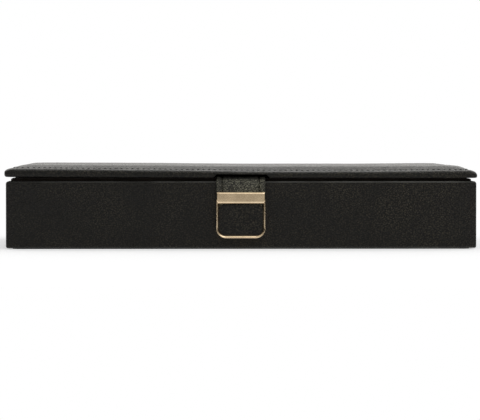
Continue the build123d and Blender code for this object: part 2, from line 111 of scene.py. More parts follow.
class LeatherSettings(bpy.types.PropertyGroup):
    black: colour("Box leather", "Colour of the leather on case, lid and drawer", (0.0162, 0.0140, 0.0092))
    # Painted highlight: colour painted along the case's upper edge for the light its rounding catches, and
    # along its lower edge for the floor's reflection.
    painted_light_tone: colour("Worn edges", "Colour of the case's upper and lower edge", (0.13, 0.13, 0.12))
    # The strap leather is the box's black leather painted lighter: painted light for the stronger light the
    # slanting strap catches.
    strap: colour("Strap leather", "Colour of the leather on strap, clasp and pull", (0.112, 0.109, 0.079))
    thread: colour("Thread", "Colour of the sewing thread", (0.006, 0.0055, 0.005))
    grain: length("Grain", "Width of one pebble of the grain", 0.0014)
    grain_depth: length("Grain depth", "Height of the pebbles", 0.00036)
    roughness: share("Roughness", "How matt the leather is", 0.38)


class LiningSettings(bpy.types.PropertyGroup):
    suede: colour("Suede", "Colour of the lining", (0.018, 0.014, 0.011))
    nap: length("Nap", "Width of one tuft of the nap", 0.0005)
    felt: colour("Felt", "Colour of the felt under the case", (0.012, 0.012, 0.012))


class MetalSettings(bpy.types.PropertyGroup):
    gold: colour("Pale gold", "Colour of the clasp and hinges", (0.90, 0.71, 0.48))
    gold_roughness: share("Roughness", "How matt the pale gold is", 0.13)
    steel: colour("Steel", "Colour of the striker plate", (0.52, 0.52, 0.53))


class StageSettings(bpy.types.PropertyGroup):
    camera_distance: length("Camera distance", "From the camera to the case's front", 1.84)
    camera_height: length("Camera height", "Height of the camera above the floor", 0.072)
    camera_side: length("Camera side", "How far the camera stands to the right", -0.040)
    aim_height: length("Aim height", "Height of the picture's middle on the case's front", 0.0249)
    aim_side: length("Aim side", "How far right of the case's middle the picture's middle lies", -0.0010)
    frame_width: length("Frame width", "Width of the picture at the case's front", 0.3054)
    floor: colour("Floor", "Colour of the floor", (0.80, 0.80, 0.80))
    ambient: share("Ambient", "Brightness of the surroundings", 0.50)
    front: share("Room in front", "Brightness of what stands behind the camera", 0.37)
    ceiling: share("Ceiling", "Brightness of what hangs above, in reflections", 0.55)
    warmth: colour("Warmth", "Colour of the room in reflections", (1.0, 0.975, 0.915))
    floor_white: share("Floor white", "How much of the floor's white is the backdrop's own", 0.42)


class BoxSettings(bpy.types.PropertyGroup):
    lid: PointerProperty(type=LidSettings, name="Lid", description="Padding and stitches of the lid")
    strap: PointerProperty(type=StrapSettings, name="Strap", description="Strap over the front")
    leather: PointerProperty(type=LeatherSettings, name="Leather", description="Leather finishes")
    lining: PointerProperty(type=LiningSettings, name="Lining", description="Suede and felt finishes")
    metal: PointerProperty(type=MetalSettings, name="Metal", description="Metal finishes")
    stage: PointerProperty(type=StageSettings, name="Stage", description="Floor, light and camera")


def settings():
    return bpy.context.scene.cufflink_box


# --- Surfaces -------------------------------------------------------------------------------------


def quads(rows, columns, close_rows=False, close_columns=False):
    """Corners of each cell of a grid whose points are counted row by row; closed ways run round."""
    i = np.arange(rows if close_rows else rows - 1)
    j = np.arange(columns if close_columns else columns - 1)
    i, j = np.meshgrid(i, j, indexing="ij")
    next_i, next_j = (i + 1) % rows, (j + 1) % columns
    corners = (i * columns + j, i * columns + next_j, next_i * columns + next_j, next_i * columns + j)
    return np.stack(corners, -1).reshape(-1, 4)


def smoothstep(value, low, high):
    """0 below low, 1 above high, and 3k^2 - 2k^3 at the share k between them."""
    k = np.clip((value - low) / (high - low), 0, 1)
    return k * k * (3 - 2 * k)


def piece(name, points, faces, sharp=40, merge=1e-4):
    """Mesh object from points in millimetres. Points closer than merge become one, and faces are
    turned outwards."""
    mesh = bpy.data.meshes.new(name)
    mesh.from_pydata((np.asarray(points, float).reshape(-1, 3) * MM).tolist(), [], [list(f) for f in faces])
    work = bmesh.new()
    work.from_mesh(mesh)
    bmesh.ops.remove_doubles(work, verts=work.verts, dist=merge * MM)
    bmesh.ops.dissolve_degenerate(work, edges=work.edges, dist=merge * MM / 10)
    bmesh.ops.recalc_face_normals(work, faces=work.faces)
    work.to_mesh(mesh)
    work.free()
    mesh.shade_smooth()
    mesh.set_sharp_from_angle(angle=math.radians(sharp))
    thing = bpy.data.objects.new(name, mesh)
    bpy.context.scene.collection.objects.link(thing)
    return thing


def joined(parts):
    """Points and faces of several surfaces as one."""
    points, faces, start = [], [], 0
    for part_points, part_faces in parts:
        flat = np.asarray(part_points, float).reshape(-1, 3)
        points.append(flat)
        faces.extend([corner + start for corner in face] for face in part_faces)
        start += len(flat)
    return np.concatenate(points), faces


def walk(shares_x, shares_y, corner_steps=6):
    """Walk round a rectangle, counter-clockwise from the front left.

    Each point has the place of its corner's centre, as shares of the half sides, and the direction
    in which it stands off that centre: along a side the centre moves by the given shares and the
    direction is square to the side, and round a corner the centre stays and the direction turns.
    """
    centres, directions = [], []
    for side, shares in enumerate((shares_x, shares_y, shares_x, shares_y)):
        angle = (side - 1) * math.pi / 2
        out = np.array([math.cos(angle), math.sin(angle)])
        along = np.array([-math.sin(angle), math.cos(angle)])
        centres.append(out + along * shares[:, None])
        directions.append(np.repeat(out[None], len(shares), 0))
        turn = np.linspace(0, math.pi / 2, corner_steps)[:, None]
        centres.append(np.repeat((out + along)[None], corner_steps, 0))
        directions.append(out * np.cos(turn) + along * np.sin(turn))
    return np.concatenate(centres), np.concatenate(directions)


def even_shares(count):
    """Shares from -1 to 1 in equal steps, without the ends."""
    return np.linspace(-1, 1, count + 2)[1:-1]


def rings(half, radius, profile, pattern):
    """Rounded rectangles drawn in and raised by a profile.

    Ring i has half sides h = half - inset_i and corner radius r = radius + inset_i / 2, but never more
    than the shorter half side. Its points are centre * (h - r) + direction * r, at height_i.
    """
    centres, directions = pattern
    profile = np.asarray(profile, float)
    h = np.maximum(np.asarray(half, float)[None] - profile[:, :1], 0)
    r = np.minimum(np.asarray(radius, float) + profile[:, :1] / 2, h.min(1, keepdims=True))
    flat = centres[None] * (h[:, None] - r[:, :, None]) + directions[None] * r[:, :, None]
    height = np.repeat(profile[:, 1:], len(centres), 1)[..., None]
    return np.concatenate([flat, height], -1)


def pillow(half, radius, profile, pattern):
    """Closed body of rings, whose first and last ring are drawn in to a line."""
    short = min(half)
    ends = [(short, profile[0][1])], [(short, profile[-1][1])]
    points = rings(half, radius, [*ends[0], *profile, *ends[1]], pattern)
    return points, quads(*points.shape[:2], close_columns=True)


def soft_edge(low, high, radius, steps=4):
    """Profile of a flat pad: up its side from low to high, with both edges rounded by a quarter."""
    turn = np.linspace(0, math.pi / 2, steps)
    under = np.stack([radius * (1 - np.sin(turn)), low + radius * (1 - np.cos(turn))], -1)
    over = np.stack([radius * (1 - np.cos(turn)), high - radius * (1 - np.sin(turn))], -1)
    return [*under.tolist(), *over.tolist()]


def capped(points):
    """Rings of a closed section from one end to the other, and their faces, with both ends closed."""
    rows, columns = points.shape[:2]
    ends = [list(range(columns)), list(range((rows - 1) * columns, rows * columns))]
    return points, [*quads(rows, columns, close_columns=True).tolist(), *ends]


def carried(path, normals, section, widths, seams):
    """Closed section carried along a path in the plane x = 0.

    Point j of ring i is path_i + (across_j * width_i, normal_i * (depth_j - seam_ij)).
    """
    across = section[None, :, 0] * widths[:, None]
    depth = section[None, :, 1] - seams
    flat = path[:, None] + normals[:, None] * depth[..., None]
    return capped(np.concatenate([across[..., None], flat], -1))


def bar(length, section, steps):
    """Closed section in Y and Z carried along X, either side of the middle."""
    x = np.repeat(np.linspace(-length / 2, length / 2, steps)[:, None], len(section), 1)
    return capped(np.concatenate([x[..., None], np.repeat(section[None], steps, 0)], -1))


def board_section(thickness, low, high, round_over, steps=7):
    """Upright board with its top edges rounded over by an ellipse, in Y and Z."""
    turn = np.linspace(0, math.pi, steps)
    top = np.stack([thickness / 2 * np.cos(turn), high - round_over + round_over * np.sin(turn)], -1)
    return np.concatenate([[[-thickness / 2, low], [thickness / 2, low]], top])


def turned(points, quarter):
    """Points turned about the upright axis by quarter turns."""
    angle = quarter * math.pi / 2
    x, y = points[..., 0], points[..., 1]
    c, s = round(math.cos(angle)), round(math.sin(angle))
    return np.stack([x * c - y * s, x * s + y * c, points[..., 2]], -1)


def resample(line, distances):
    """Points at the given distances along a line of points, and the line's direction there."""
    steps = np.linalg.norm(np.diff(line, axis=0), axis=1)
    run = np.concatenate([[0], np.cumsum(steps)])
    places = np.stack([np.interp(distances, run, line[:, k]) for k in range(3)], -1)
    ahead = np.stack([np.interp(distances + 0.3, run, line[:, k]) for k in range(3)], -1)
    behind = np.stack([np.interp(distances - 0.3, run, line[:, k]) for k in range(3)], -1)
    along = ahead - behind
    return places, along / np.linalg.norm(along, axis=1, keepdims=True)


def stitches(places, along, up, length, thickness, sink):
    """One short thread at each place.

    Along a stitch, at k from -1 to 1, the thread's radius is t / 2 * (1 - k^4 / 2) and its middle
    stands at t * (0.42 - k^2) - sink over the leather, so that both ends dive into it.
    """
    k = np.array([-1.0, -0.6, 0.0, 0.6, 1.0])
    turn = np.linspace(0, 2 * math.pi, 6, endpoint=False)
    radius = thickness / 2 * (1 - k**4 / 2)
    rise = thickness * (0.42 - k**2) - sink
    side = np.cross(along, up)
    points = (
        places[:, None, None]
        + along[:, None, None] * (k * length / 2)[None, :, None, None]
        + up[:, None, None] * (rise[:, None] + radius[:, None] * np.sin(turn))[None, :, :, None]
        + side[:, None, None] * (radius[:, None] * np.cos(turn))[None, :, :, None]
    )
    count, rows, columns = points.shape[:3]
    one = quads(rows, columns, close_columns=True)
    starts = np.arange(count)[:, None, None] * rows * columns
    faces = (one[None] + starts).reshape(-1, 4).tolist()
    for first in (0, (rows - 1) * columns):
        faces += [list(range(s + first, s + first + columns)) for s in starts.ravel()]
    return points, faces


# --- Node trees -----------------------------------------------------------------------------------


class Signal:
    """One socket of a node tree. Sums and products of it add Math nodes."""

    def __init__(self, tree, socket):
        self.tree = tree
        self.socket = socket

    def maths(self, operation, *values):
        return self.tree.add("ShaderNodeMath", {"operation": operation}, dict(enumerate(values)))

    def __add__(self, other):
        return self.maths("ADD", self, other)

    def __sub__(self, other):
        return self.maths("SUBTRACT", self, other)

    def __rsub__(self, other):
        return self.maths("SUBTRACT", other, self)

    def __mul__(self, other):
        return self.maths("MULTIPLY", self, other)

    __radd__ = __add__
    __rmul__ = __mul__

    def ramp(self, low, high, start=0.0, end=1.0):
        """Smooth step from start to end as the value goes from low to high."""
        return self.tree.add(
            "ShaderNodeMapRange",
            {"interpolation_type": "SMOOTHSTEP", "clamp": True},
            {"Value": self, "From Min": low, "From Max": high, "To Min": start, "To Max": end},
        )


class Tree:
    """Writes one node tree. add takes a node's type, then its settings, then what goes in its sockets."""

    def __init__(self, nodes, links):
        self.nodes = nodes
        self.links = links

    def add(self, kind, options=None, inputs=None, output=0):
        node = self.nodes.new(kind)
        for name, value in (options or {}).items():
            setattr(node, name, value)
        for name, value in (inputs or {}).items():
            if isinstance(value, Signal):
                self.links.new(value.socket, node.inputs[name])
            else:
                node.inputs[name].default_value = value
        return Signal(self, node.outputs[output]) if node.outputs else node

    def place(self, scale=(1, 1, 1), turn=(0, 0, 0)):
        """The piece's own coordinates, in metres, stretched and turned."""
        source = self.add("ShaderNodeTexCoord", output="Object")
        return self.add("ShaderNodeMapping", {}, {"Vector": source, "Scale": scale, "Rotation": turn})

    def part(self, place, axis):
        """One coordinate of a place."""
        return self.add("ShaderNodeSeparateXYZ", {}, {0: place}, axis)

    def ray(self, kind):
        """1 for rays of this kind, and 0 for others."""
        return self.add("ShaderNodeLightPath", {}, {}, f"Is {kind} Ray")

    def noise(self, place, size, detail=2.0, roughness=0.5):
        """Cloudy values from 0 to 1, with patches of about this size in metres."""
        return self.add(
            "ShaderNodeTexNoise",
            {},
            {"Vector": place, "Scale": 1 / size, "Detail": detail, "Roughness": roughness},
        )

    def cells(self, place, size):
        """Distance to the nearest edge of irregular cells of about this size in metres."""
        return self.add(
            "ShaderNodeTexVoronoi", {"feature": "DISTANCE_TO_EDGE"}, {"Vector": place, "Scale": 1 / size}
        )

    def mixed(self, factor, first, second):
        """Colour between first and second."""
        return self.add(
            "ShaderNodeMix", {"data_type": "RGBA"}, {0: factor, 6: opaque(first), 7: opaque(second)}, 2
        )

    def brighter(self, value, factor):
        """Colour multiplied by a number."""
        return self.add("ShaderNodeVectorMath", {"operation": "SCALE"}, {0: value, "Scale": factor})

    def shifted(self, place, amount, size):
        """Coordinates pushed about by a noise, by up to this amount in metres."""
        push = self.add("ShaderNodeTexNoise", {}, {"Vector": place, "Scale": 1 / size}, "Color")
        centred = self.add("ShaderNodeVectorMath", {"operation": "SUBTRACT"}, {0: push, 1: (0.5,) * 3})
        scaled = self.add("ShaderNodeVectorMath", {"operation": "SCALE"}, {0: centred, "Scale": amount})
        return self.add("ShaderNodeVectorMath", {"operation": "ADD"}, {0: place, 1: scaled})

    def bump(self, height, distance, strength=1.0, under=None):
        """Normal for a height from 0 to 1 that stands for this distance in metres."""
        inputs = {"Height": height, "Distance": distance, "Strength": strength}
        if under is not None:
            inputs["Normal"] = under
        return self.add("ShaderNodeBump", {}, inputs)

    def surface(self, **sockets):
        """Principled shader with these sockets, as the tree's surface."""
        inputs = {name.replace("_", " "): value for name, value in sockets.items()}
        shader = self.add("ShaderNodeBsdfPrincipled", {}, inputs, "BSDF")
        self.add("ShaderNodeOutputMaterial", {}, {"Surface": shader})


def opaque(value):
    return value if isinstance(value, Signal) else (*value, 1.0)


def scaled(value, factor):
    """Colour made lighter or darker."""
    return tuple(channel * factor for channel in value)


def material(name):
    """Empty node material and its tree."""
    made = bpy.data.materials.new(name)
    made.use_nodes = True
    made.node_tree.nodes.clear()
    return made, Tree(made.node_tree.nodes, made.node_tree.links)


def leather(name, tone, grain, depth, roughness, specular, mottle=0.4, bands=()):
    """Pebbled calf leather: rounded grain cells with creases between them, slanting fine lines, broad
    cloudy tone with painted light that makes it lighter to the right, and polish on the pebbles.

    Each band goes from one height to another and paints light or shade there in its colour: in use,
    painted highlights along the case's edges and painted shade where the strap passes under the lid. The
    colour is lighter to the right, painted light from that side.
    """
    made, tree = material(name)
    place = tree.place()
    loose = tree.shifted(place, grain * 0.8, grain * 3)
    pebble = tree.cells(loose, grain).ramp(0.0, 0.42)
    lines = tree.noise(tree.place((1, 1, 2.5), (0, 0.7, 0)), grain * 1.1, 1.0).ramp(0.36, 0.64)
    fine = tree.noise(place, grain * 0.7, 1.0).ramp(0.36, 0.64)
    broad = tree.noise(place, 0.022, 3.0)
    grained = pebble * 0.4 + lines * 0.3 + fine * 0.3
    cloudy = tree.mixed(broad.ramp(0.3, 0.7), scaled(tone, 1 - mottle), scaled(tone, 1 + mottle))
    across = tree.part(place, 0)
    # Painted light: the cloudy tone is made lighter towards the right, as if lit from that side.
    lit = tree.brighter(cloudy, across.ramp(-0.15, 0.15, 1.5, 2.25))
    skin = tree.mixed(grained.ramp(0.25, 0.85), scaled(tone, 0.12), lit)
    height = tree.part(place, 2)
    # Painted light from the right: each band's colour is darker at the left and lighter at the right.
    band_lit_from_right = across.ramp(-0.15, 0.15, 0.45, 1.5)
    for start, end, painted_light_tone in bands:
        amount = height.ramp(start, end) * (0.5 + 0.5 * broad.ramp(0.35, 0.6))
        skin = tree.mixed(amount, skin, tree.brighter(painted_light_tone, band_lit_from_right))
    swell = tree.bump(tree.noise(place, 0.012, 1.0), depth * 2.0, 0.6)
    tree.surface(
        Base_Color=skin,
        Roughness=roughness + 0.10 - grained * 0.16 + (broad - 0.5) * 0.12,
        Specular_IOR_Level=specular,
        Normal=tree.bump(grained, depth, 1.0, swell),
    )
    return made


def suede(name, tone, nap):
    """Brushed suede: a fine nap, with broad patches that lie lighter or darker."""
    made, tree = material(name)
    place = tree.place()
    tufts = tree.noise(place, nap, 3.0, 0.6)
    brushed = tree.noise(tree.place((1, 1, 0.4), (0.2, 0.1, 0.5)), 0.016, 2.0)
    stroke = tree.noise(tree.place((1, 0.25, 1), (0, 0, 0.6)), nap * 2.5, 2.0)
    shade = brushed.ramp(0.35, 0.65) * 0.5 + stroke * 0.3 + tufts * 0.2
    base = tree.mixed(shade, scaled(tone, 0.62), scaled(tone, 1.5))
    tree.surface(
        Base_Color=base,
        Roughness=0.95 - tufts * 0.1,
        Specular_IOR_Level=0.15,
        Sheen_Weight=0.25,
        Sheen_Roughness=0.45,
        Normal=tree.bump(tufts * 0.7 + stroke * 0.3, nap * 0.4, 0.7),
    )
    return made


def metal(name, tone, roughness, lines=0.0003):
    """Polished cast metal with a trace of the polishing lines and a slightly cloudy tone."""
    made, tree = material(name)
    place = tree.place()
    lay = tree.noise(tree.place((0.03, 1, 1)), lines, 2.0)
    cloud = tree.noise(place, 0.006, 2.0)
    base = tree.mixed(cloud.ramp(0.3, 0.7), scaled(tone, 0.93), scaled(tone, 1.05))
    tree.surface(
        Base_Color=base,
        Metallic=1.0,
        Roughness=roughness + (lay - 0.5) * 0.10 + (cloud - 0.5) * 0.06,
        Normal=tree.bump(lay, 0.000006, 0.5),
    )
    return made


def fibres(name, tone, size, roughness=0.85, spread=0.5):
    """Pressed fibre, as in felt, card and fibreboard: crossed short strands of uneven tone."""
    made, tree = material(name)
    place = tree.place()
    one = tree.noise(tree.place((1, 0.15, 1), (0, 0, 0.7)), size, 2.0)
    other = tree.noise(tree.place((0.15, 1, 1), (0, 0, 0.3)), size * 1.3, 2.0)
    cloud = tree.noise(place, size * 30, 2.0)
    shade = one * 0.4 + other * 0.4 + cloud * 0.2
    base = tree.mixed(shade.ramp(0.35, 0.65), scaled(tone, 1 - spread), scaled(tone, 1 + spread))
    tree.surface(
        Base_Color=base,
        Roughness=roughness + (one - 0.5) * 0.1,
        Specular_IOR_Level=0.25,
        Normal=tree.bump(one * 0.5 + other * 0.5, size * 0.3, 0.6),
    )
    return made


def woven_tape(name, tone, pitch):
    """Tight plain weave: crossed waves raise each thread in turn."""
    made, tree = material(name)
    turn = 2 * math.pi / pitch
    across = tree.part(tree.place((turn,) * 3), 0)
    along = tree.part(tree.place((turn,) * 3), 1)
    weave = across.maths("SINE", across) * along.maths("SINE", along) * 0.5 + 0.5
    tree.surface(
        Base_Color=tree.mixed(weave, scaled(tone, 0.6), scaled(tone, 1.3)),
        Roughness=0.55 + weave * 0.1,
        Specular_IOR_Level=0.4,
        Normal=tree.bump(weave, pitch * 0.1, 0.6),
    )
    return made


def thread_finish(name, tone):
    """Waxed sewing thread: slanting plies."""
    made, tree = material(name)
    plies = tree.noise(tree.place((1, 1, 0.4), (0.5, 0.5, 0.7)), 0.00025, 1.0)
    tree.surface(
        Base_Color=tree.mixed(plies, scaled(tone, 0.7), scaled(tone, 1.4)),
        Roughness=0.62 + plies * 0.1,
        Specular_IOR_Level=0.25,
        Normal=tree.bump(plies, 0.00004, 0.8),
    )
    return made


FINISHES = {}


def finish(slot):
    """Material of one of the record's slots, made the first time it is asked for."""
    if slot in FINISHES:
        return FINISHES[slot]
    s = settings()
    skin, lining, plate = s.leather, s.lining, s.metal
    makers = {
        "black_leather": lambda: leather(
            slot, skin.black, skin.grain, skin.grain_depth, skin.roughness, 0.25
        ),
        "case_leather": lambda: leather(
            slot, skin.black, skin.grain, skin.grain_depth, skin.roughness, 0.25,
            # Painted highlights: one band along the case's top edge and one along its bottom edge.
            bands=((0.0421, 0.0428, skin.painted_light_tone), (0.0014, 0.0006, skin.painted_light_tone)),
        ),
        # Painted shade: black, shineless leather for the faces inside the relief over the strap, where shade
        # falls.
        "notch_painted_shade": lambda: leather(
            slot, scaled(skin.black, 0.1), skin.grain, skin.grain_depth, 0.85, 0.0
        ),
        "strap_leather": lambda: leather(
            slot, skin.strap, skin.grain * 0.75, skin.grain_depth * 1.4, skin.roughness * 0.9, 0.4,
            # Painted shade: the strap turns nearly black near its top, where it passes under the lid.
            bands=((0.0438, 0.0450, scaled(skin.strap, 0.05)),),
        ),
        "thread": lambda: thread_finish(slot, skin.thread),
        "suede_lining": lambda: suede(slot, lining.suede, lining.nap),
        "base_felt": lambda: fibres(slot, lining.felt, 0.0006, 0.95, 0.6),
        "slide_tape": lambda: woven_tape(slot, (0.03, 0.03, 0.03), 0.0008),
        "case_board": lambda: fibres(slot, (0.16, 0.12, 0.085), 0.0005),
        "drawer_board": lambda: fibres(slot, (0.020, 0.016, 0.013), 0.0004, 0.6),
        "pale_gold": lambda: metal(slot, plate.gold, plate.gold_roughness),
        "steel": lambda: metal(slot, plate.steel, 0.35),
        "magnet_plate": lambda: metal(slot, scaled(plate.steel, 0.9), 0.3),
    }
    FINISHES[slot] = makers[slot]()
    return FINISHES[slot]


def dress(thing, slot, finish_name=None):
    """Gives a new piece its finish: the one named, or else the one made for the record's slot."""
    thing.data.materials.append(finish(finish_name or slot))
    return thing


# --- Lid ------------------------------------------------------------------------------------------

LID_LOW, LID_HIGH = cad_box("lid_cover")
PANEL_LOW, PANEL_HIGH = cad_box("lid_panel")
BOARD_LOW = cad_box("lid_board")[0]
STRAP_LOW, STRAP_HIGH = cad_box("strap_root")
CROWN_REACH = 18.0
EDGE_REACH = 4.5
EDGE_RISE = 2.6
CORNER_RADIUS = 2.5
NOTCH_HALF = (15.85, 17.75)
NOTCH_HEIGHT = 2.3
NOTCH_DEPTH = 2.4
LID_CENTRE = (LID_LOW + LID_HIGH) / 2
LID_HALF = (LID_HIGH - LID_LOW)[:2] / 2
SIDE_TOP = LID_HIGH[2] - 5.3
LEAN_HEIGHTS = (LID_LOW[2], SIDE_TOP, SIDE_TOP + EDGE_RISE, LID_HIGH[2])
LEAN_LEFT = (0.7, 1.7, 1.8, 0.9)
LEAN_RIGHT = (0.0, -0.35, 0.4, 0.3)
END_PULL = 5.0


def crown_height(inset, seam_inset, seam_depth):
    """Height of the lid's top at a distance from its edge.

    The edge is a quarter ellipse, and over it the padding swells in a smooth step up to the crown.
    The seam is a dip of seam_depth * exp(-(distance / 0.55)^2).
    """
    inset = np.asarray(inset, float)
    outside = np.maximum(1 - inset / EDGE_REACH, 0)
    edge = SIDE_TOP + EDGE_RISE * np.sqrt(1 - outside**2)
    swell = (LID_HIGH[2] - SIDE_TOP - EDGE_RISE) * smoothstep(inset, 2.5, CROWN_REACH)
    return edge + swell - seam_depth * np.exp(-(((inset - seam_inset) / 0.55) ** 2))


def leaning(x, y, z):
    """How far the warped lid stands off its true place: most at the left, and below only in front."""
    side = np.clip((z - LID_LOW[2]) / (SIDE_TOP - LID_LOW[2]), 0, 1)
    front = side + (1 - side) * smoothstep(-y, -110, 60)
    left = np.interp(z, LEAN_HEIGHTS, LEAN_LEFT) * smoothstep(-x, -40, 170) * front
    right = np.interp(z, LEAN_HEIGHTS, LEAN_RIGHT) * smoothstep(x, 70, 140)
    return settings().lid.lean * (left + right)


def lid_pattern():
    """Walk round the lid with closer steps at the relief over the strap."""
    reach = (NOTCH_HALF[1] + 1.0) / LID_HALF[0]
    near = np.linspace(-reach, reach, 56)
    far = np.linspace(reach, 1, 62)[1:-1]
    return walk(np.concatenate([-far[::-1], near, far]), even_shares(74), 7)


def uneven(x, y):
    """Slow swell of hand-drawn leather: three sums of sines, from about -1 to 1."""
    wide = np.sin(x / 37 + 0.6) * np.cos(y / 31 + 0.4)
    middle = np.sin(x / 15.5 + y / 23 + 1.9)
    small = np.sin(x / 8.3 - y / 9.1) * np.cos(x / 21)
    return 0.5 * wide + 0.3 * middle + 0.2 * small


def lid_skin(profile, pattern, puff=None):
    """Rings of the lid's leather at (inset, height), warped, relieved over the strap and, above its
    seam, swollen by the padding."""
    points = rings(LID_HALF, CORNER_RADIUS, profile, pattern)
    along = points[..., 0]
    steeper = END_PULL * smoothstep(LID_HALF[0] - np.abs(along), 3, 15) * along / LID_HALF[0]
    steeper = steeper * (np.asarray(profile, float)[:, 1:] > SIDE_TOP)
    points[..., 0] = along + steeper - 0.4 * smoothstep(along, 110, LID_HALF[0])
    points[..., :2] += LID_CENTRE[:2]
    x, y, z = points[..., 0], points[..., 1], points[..., 2]
    inset = np.asarray(profile, float)[:, :1]
    above = smoothstep(z, LID_LOW[2], SIDE_TOP + EDGE_RISE)
    relief = NOTCH_HEIGHT * (1 - smoothstep(np.abs(x), *NOTCH_HALF)) * (y < LID_LOW[1] + NOTCH_DEPTH + 0.01)
    squeezed = SIDE_TOP - (SIDE_TOP - z) * (1 - relief / (SIDE_TOP - LID_LOW[2]))
    low = (z < SIDE_TOP) & (inset < NOTCH_DEPTH + 0.01)
    z = np.where(low, np.minimum(squeezed, SIDE_TOP + 0.8), z)
    z = np.where(z < LID_LOW[2] + relief, LID_LOW[2] + relief, z)
    z = z + leaning(x, y, points[..., 2]) + above * 0.14 * uneven(x, y)
    out = above * (1 - above) * 4 * 0.14 * uneven(x * 1.7 + 9, y * 1.7)
    points[..., 1] = y + np.where(inset < NOTCH_DEPTH, out * np.sign(y), 0)
    if puff is not None:
        z = z + puff(x, y) * smoothstep(np.broadcast_to(inset, z.shape), 6, 17)
    points[..., 2] = z
    return points


def swelling(height):
    """How high the lid's padding swells at a place.

    A sheet the size of the lid's top, held at its border, is blown up as cloth and then scaled so
    that its highest point stands at the given height; the root of the scaled rise stands for foam
    that gives way less at its border.
    """
    columns, rows = 91, 61
    xs = np.linspace(LID_LOW[0] + 4, LID_HIGH[0] - 4, columns)
    ys = np.linspace(LID_LOW[1] + 4, LID_HIGH[1] - 4, rows)
    grid = np.stack([*np.meshgrid(xs, ys), np.zeros((rows, columns))], -1)
    mesh = bpy.data.meshes.new("swelling")
    mesh.from_pydata((grid.reshape(-1, 3) * MM).tolist(), [], quads(rows, columns).tolist())
    sheet = bpy.data.objects.new("swelling", mesh)
    bpy.context.scene.collection.objects.link(sheet)
    border = np.zeros((rows, columns), bool)
    border[[0, -1]] = border[:, [0, -1]] = True
    held = sheet.vertex_groups.new(name="held")
    held.add(np.flatnonzero(border.ravel()).tolist(), 1.0, "REPLACE")
    cloth = sheet.modifiers.new("cloth", "CLOTH")
    cloth.settings.quality = 6
    cloth.settings.use_pressure = True
    cloth.settings.uniform_pressure_force = 4.0
    cloth.settings.vertex_group_mass = "held"
    cloth.settings.effector_weights.gravity = 0
    cloth.settings.tension_stiffness = cloth.settings.compression_stiffness = 40
    cloth.settings.bending_stiffness = 2
    cloth.collision_settings.use_collision = False
    for number in range(1, 21):
        bpy.context.scene.frame_set(number)
    result = sheet.evaluated_get(bpy.context.evaluated_depsgraph_get())
    moved = np.zeros(rows * columns * 3, np.float32)
    result.data.vertices.foreach_get("co", moved)
    rise = np.abs(moved.reshape(rows, columns, 3)[..., 2])
    bpy.context.scene.frame_set(1)
    bpy.data.objects.remove(sheet)
    rise = height * np.sqrt(rise / max(rise.max(), 1e-9))

    def lookup(x, y):
        """Height between the four nearest points of the sheet, by their shares of the cell."""
        u = np.clip((x - xs[0]) / (xs[1] - xs[0]), 0, columns - 1.001)
        v = np.clip((y - ys[0]) / (ys[1] - ys[0]), 0, rows - 1.001)
        i, j = v.astype(int), u.astype(int)
        fu, fv = u - j, v - i
        near = rise[i, j] * (1 - fu) + rise[i, j + 1] * fu
        far = rise[i + 1, j] * (1 - fu) + rise[i + 1, j + 1] * fu
        return near * (1 - fv) + far * fv

    return lookup


class CUFFLINK_OT_lid_padding(bpy.types.Operator):
    """Padded leather of the lid, from its turned-in edge below to the swollen top"""

    bl_idname = "cufflink_box.lid_padding"
    bl_label = "Lid padding"

    def execute(self, context):
        lid = settings().lid
        seam_inset, seam_depth = lid.stitch_inset / MM, lid.seam_depth / MM
        low, inner = LID_LOW[2], BOARD_LOW[2]
        under = [(60.0, inner), (30.0, inner), (12.0, inner), (8.0, inner), (8.0, low + 0.12), (7.7, low)]
        under += [(5.0, low), (NOTCH_DEPTH + 0.06, low), (NOTCH_DEPTH, low), (1.6, low), (0.9, low + 0.08)]
        face = [(0.4, low + 0.3), (0.12, low + 0.65), (0, low + 1.1), (0, low + 1.5), (0, SIDE_TOP)]
        share = np.linspace(0, math.pi / 2, 10)[1:]
        edge = EDGE_REACH * (1 - np.cos(share))
        insets = np.concatenate(
            [
                edge,
                seam_inset + np.array([-1.4, -0.9, -0.5, -0.25, 0, 0.25, 0.5, 0.9]),
                [8.3, 9.3, 10.5, 12, 13.5, 15, 17, 19, 21, 24.5, 28, 32, 37, 43, 50, 58, 67, 77, 88, 98],
            ]
        )
        top = np.stack([insets, crown_height(insets, seam_inset, seam_depth)], -1)
        short = LID_HALF.min()
        profile = [(short, inner), *under, *face, *top.tolist(), (short, LID_HIGH[2])]
        points = lid_skin(profile, lid_pattern(), swelling(lid.puff / MM))
        body = piece("lid_padding", points, quads(*points.shape[:2], close_columns=True).tolist(), 50)
        dress(body, "black_leather")
        # Painted shade: the faces inside the relief over the strap get the black, shineless notch leather.
        body.data.materials.append(finish("notch_painted_shade"))
        middle = np.array([face.center for face in body.data.polygons]) / MM
        behind = (middle[:, 1] > LID_LOW[1] + 0.6) & (middle[:, 1] < LID_LOW[1] + NOTCH_DEPTH + 0.1)
        under = middle[:, 2] < LID_LOW[2] + NOTCH_HEIGHT + 0.4
        relief = behind & under & (np.abs(middle[:, 0]) < NOTCH_HALF[1])
        body.data.polygons.foreach_set("material_index", relief.astype(np.int32))
        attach(body, "lid")
        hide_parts("lid_cover", "lid_foam", "lid_board")
        return {"FINISHED"}


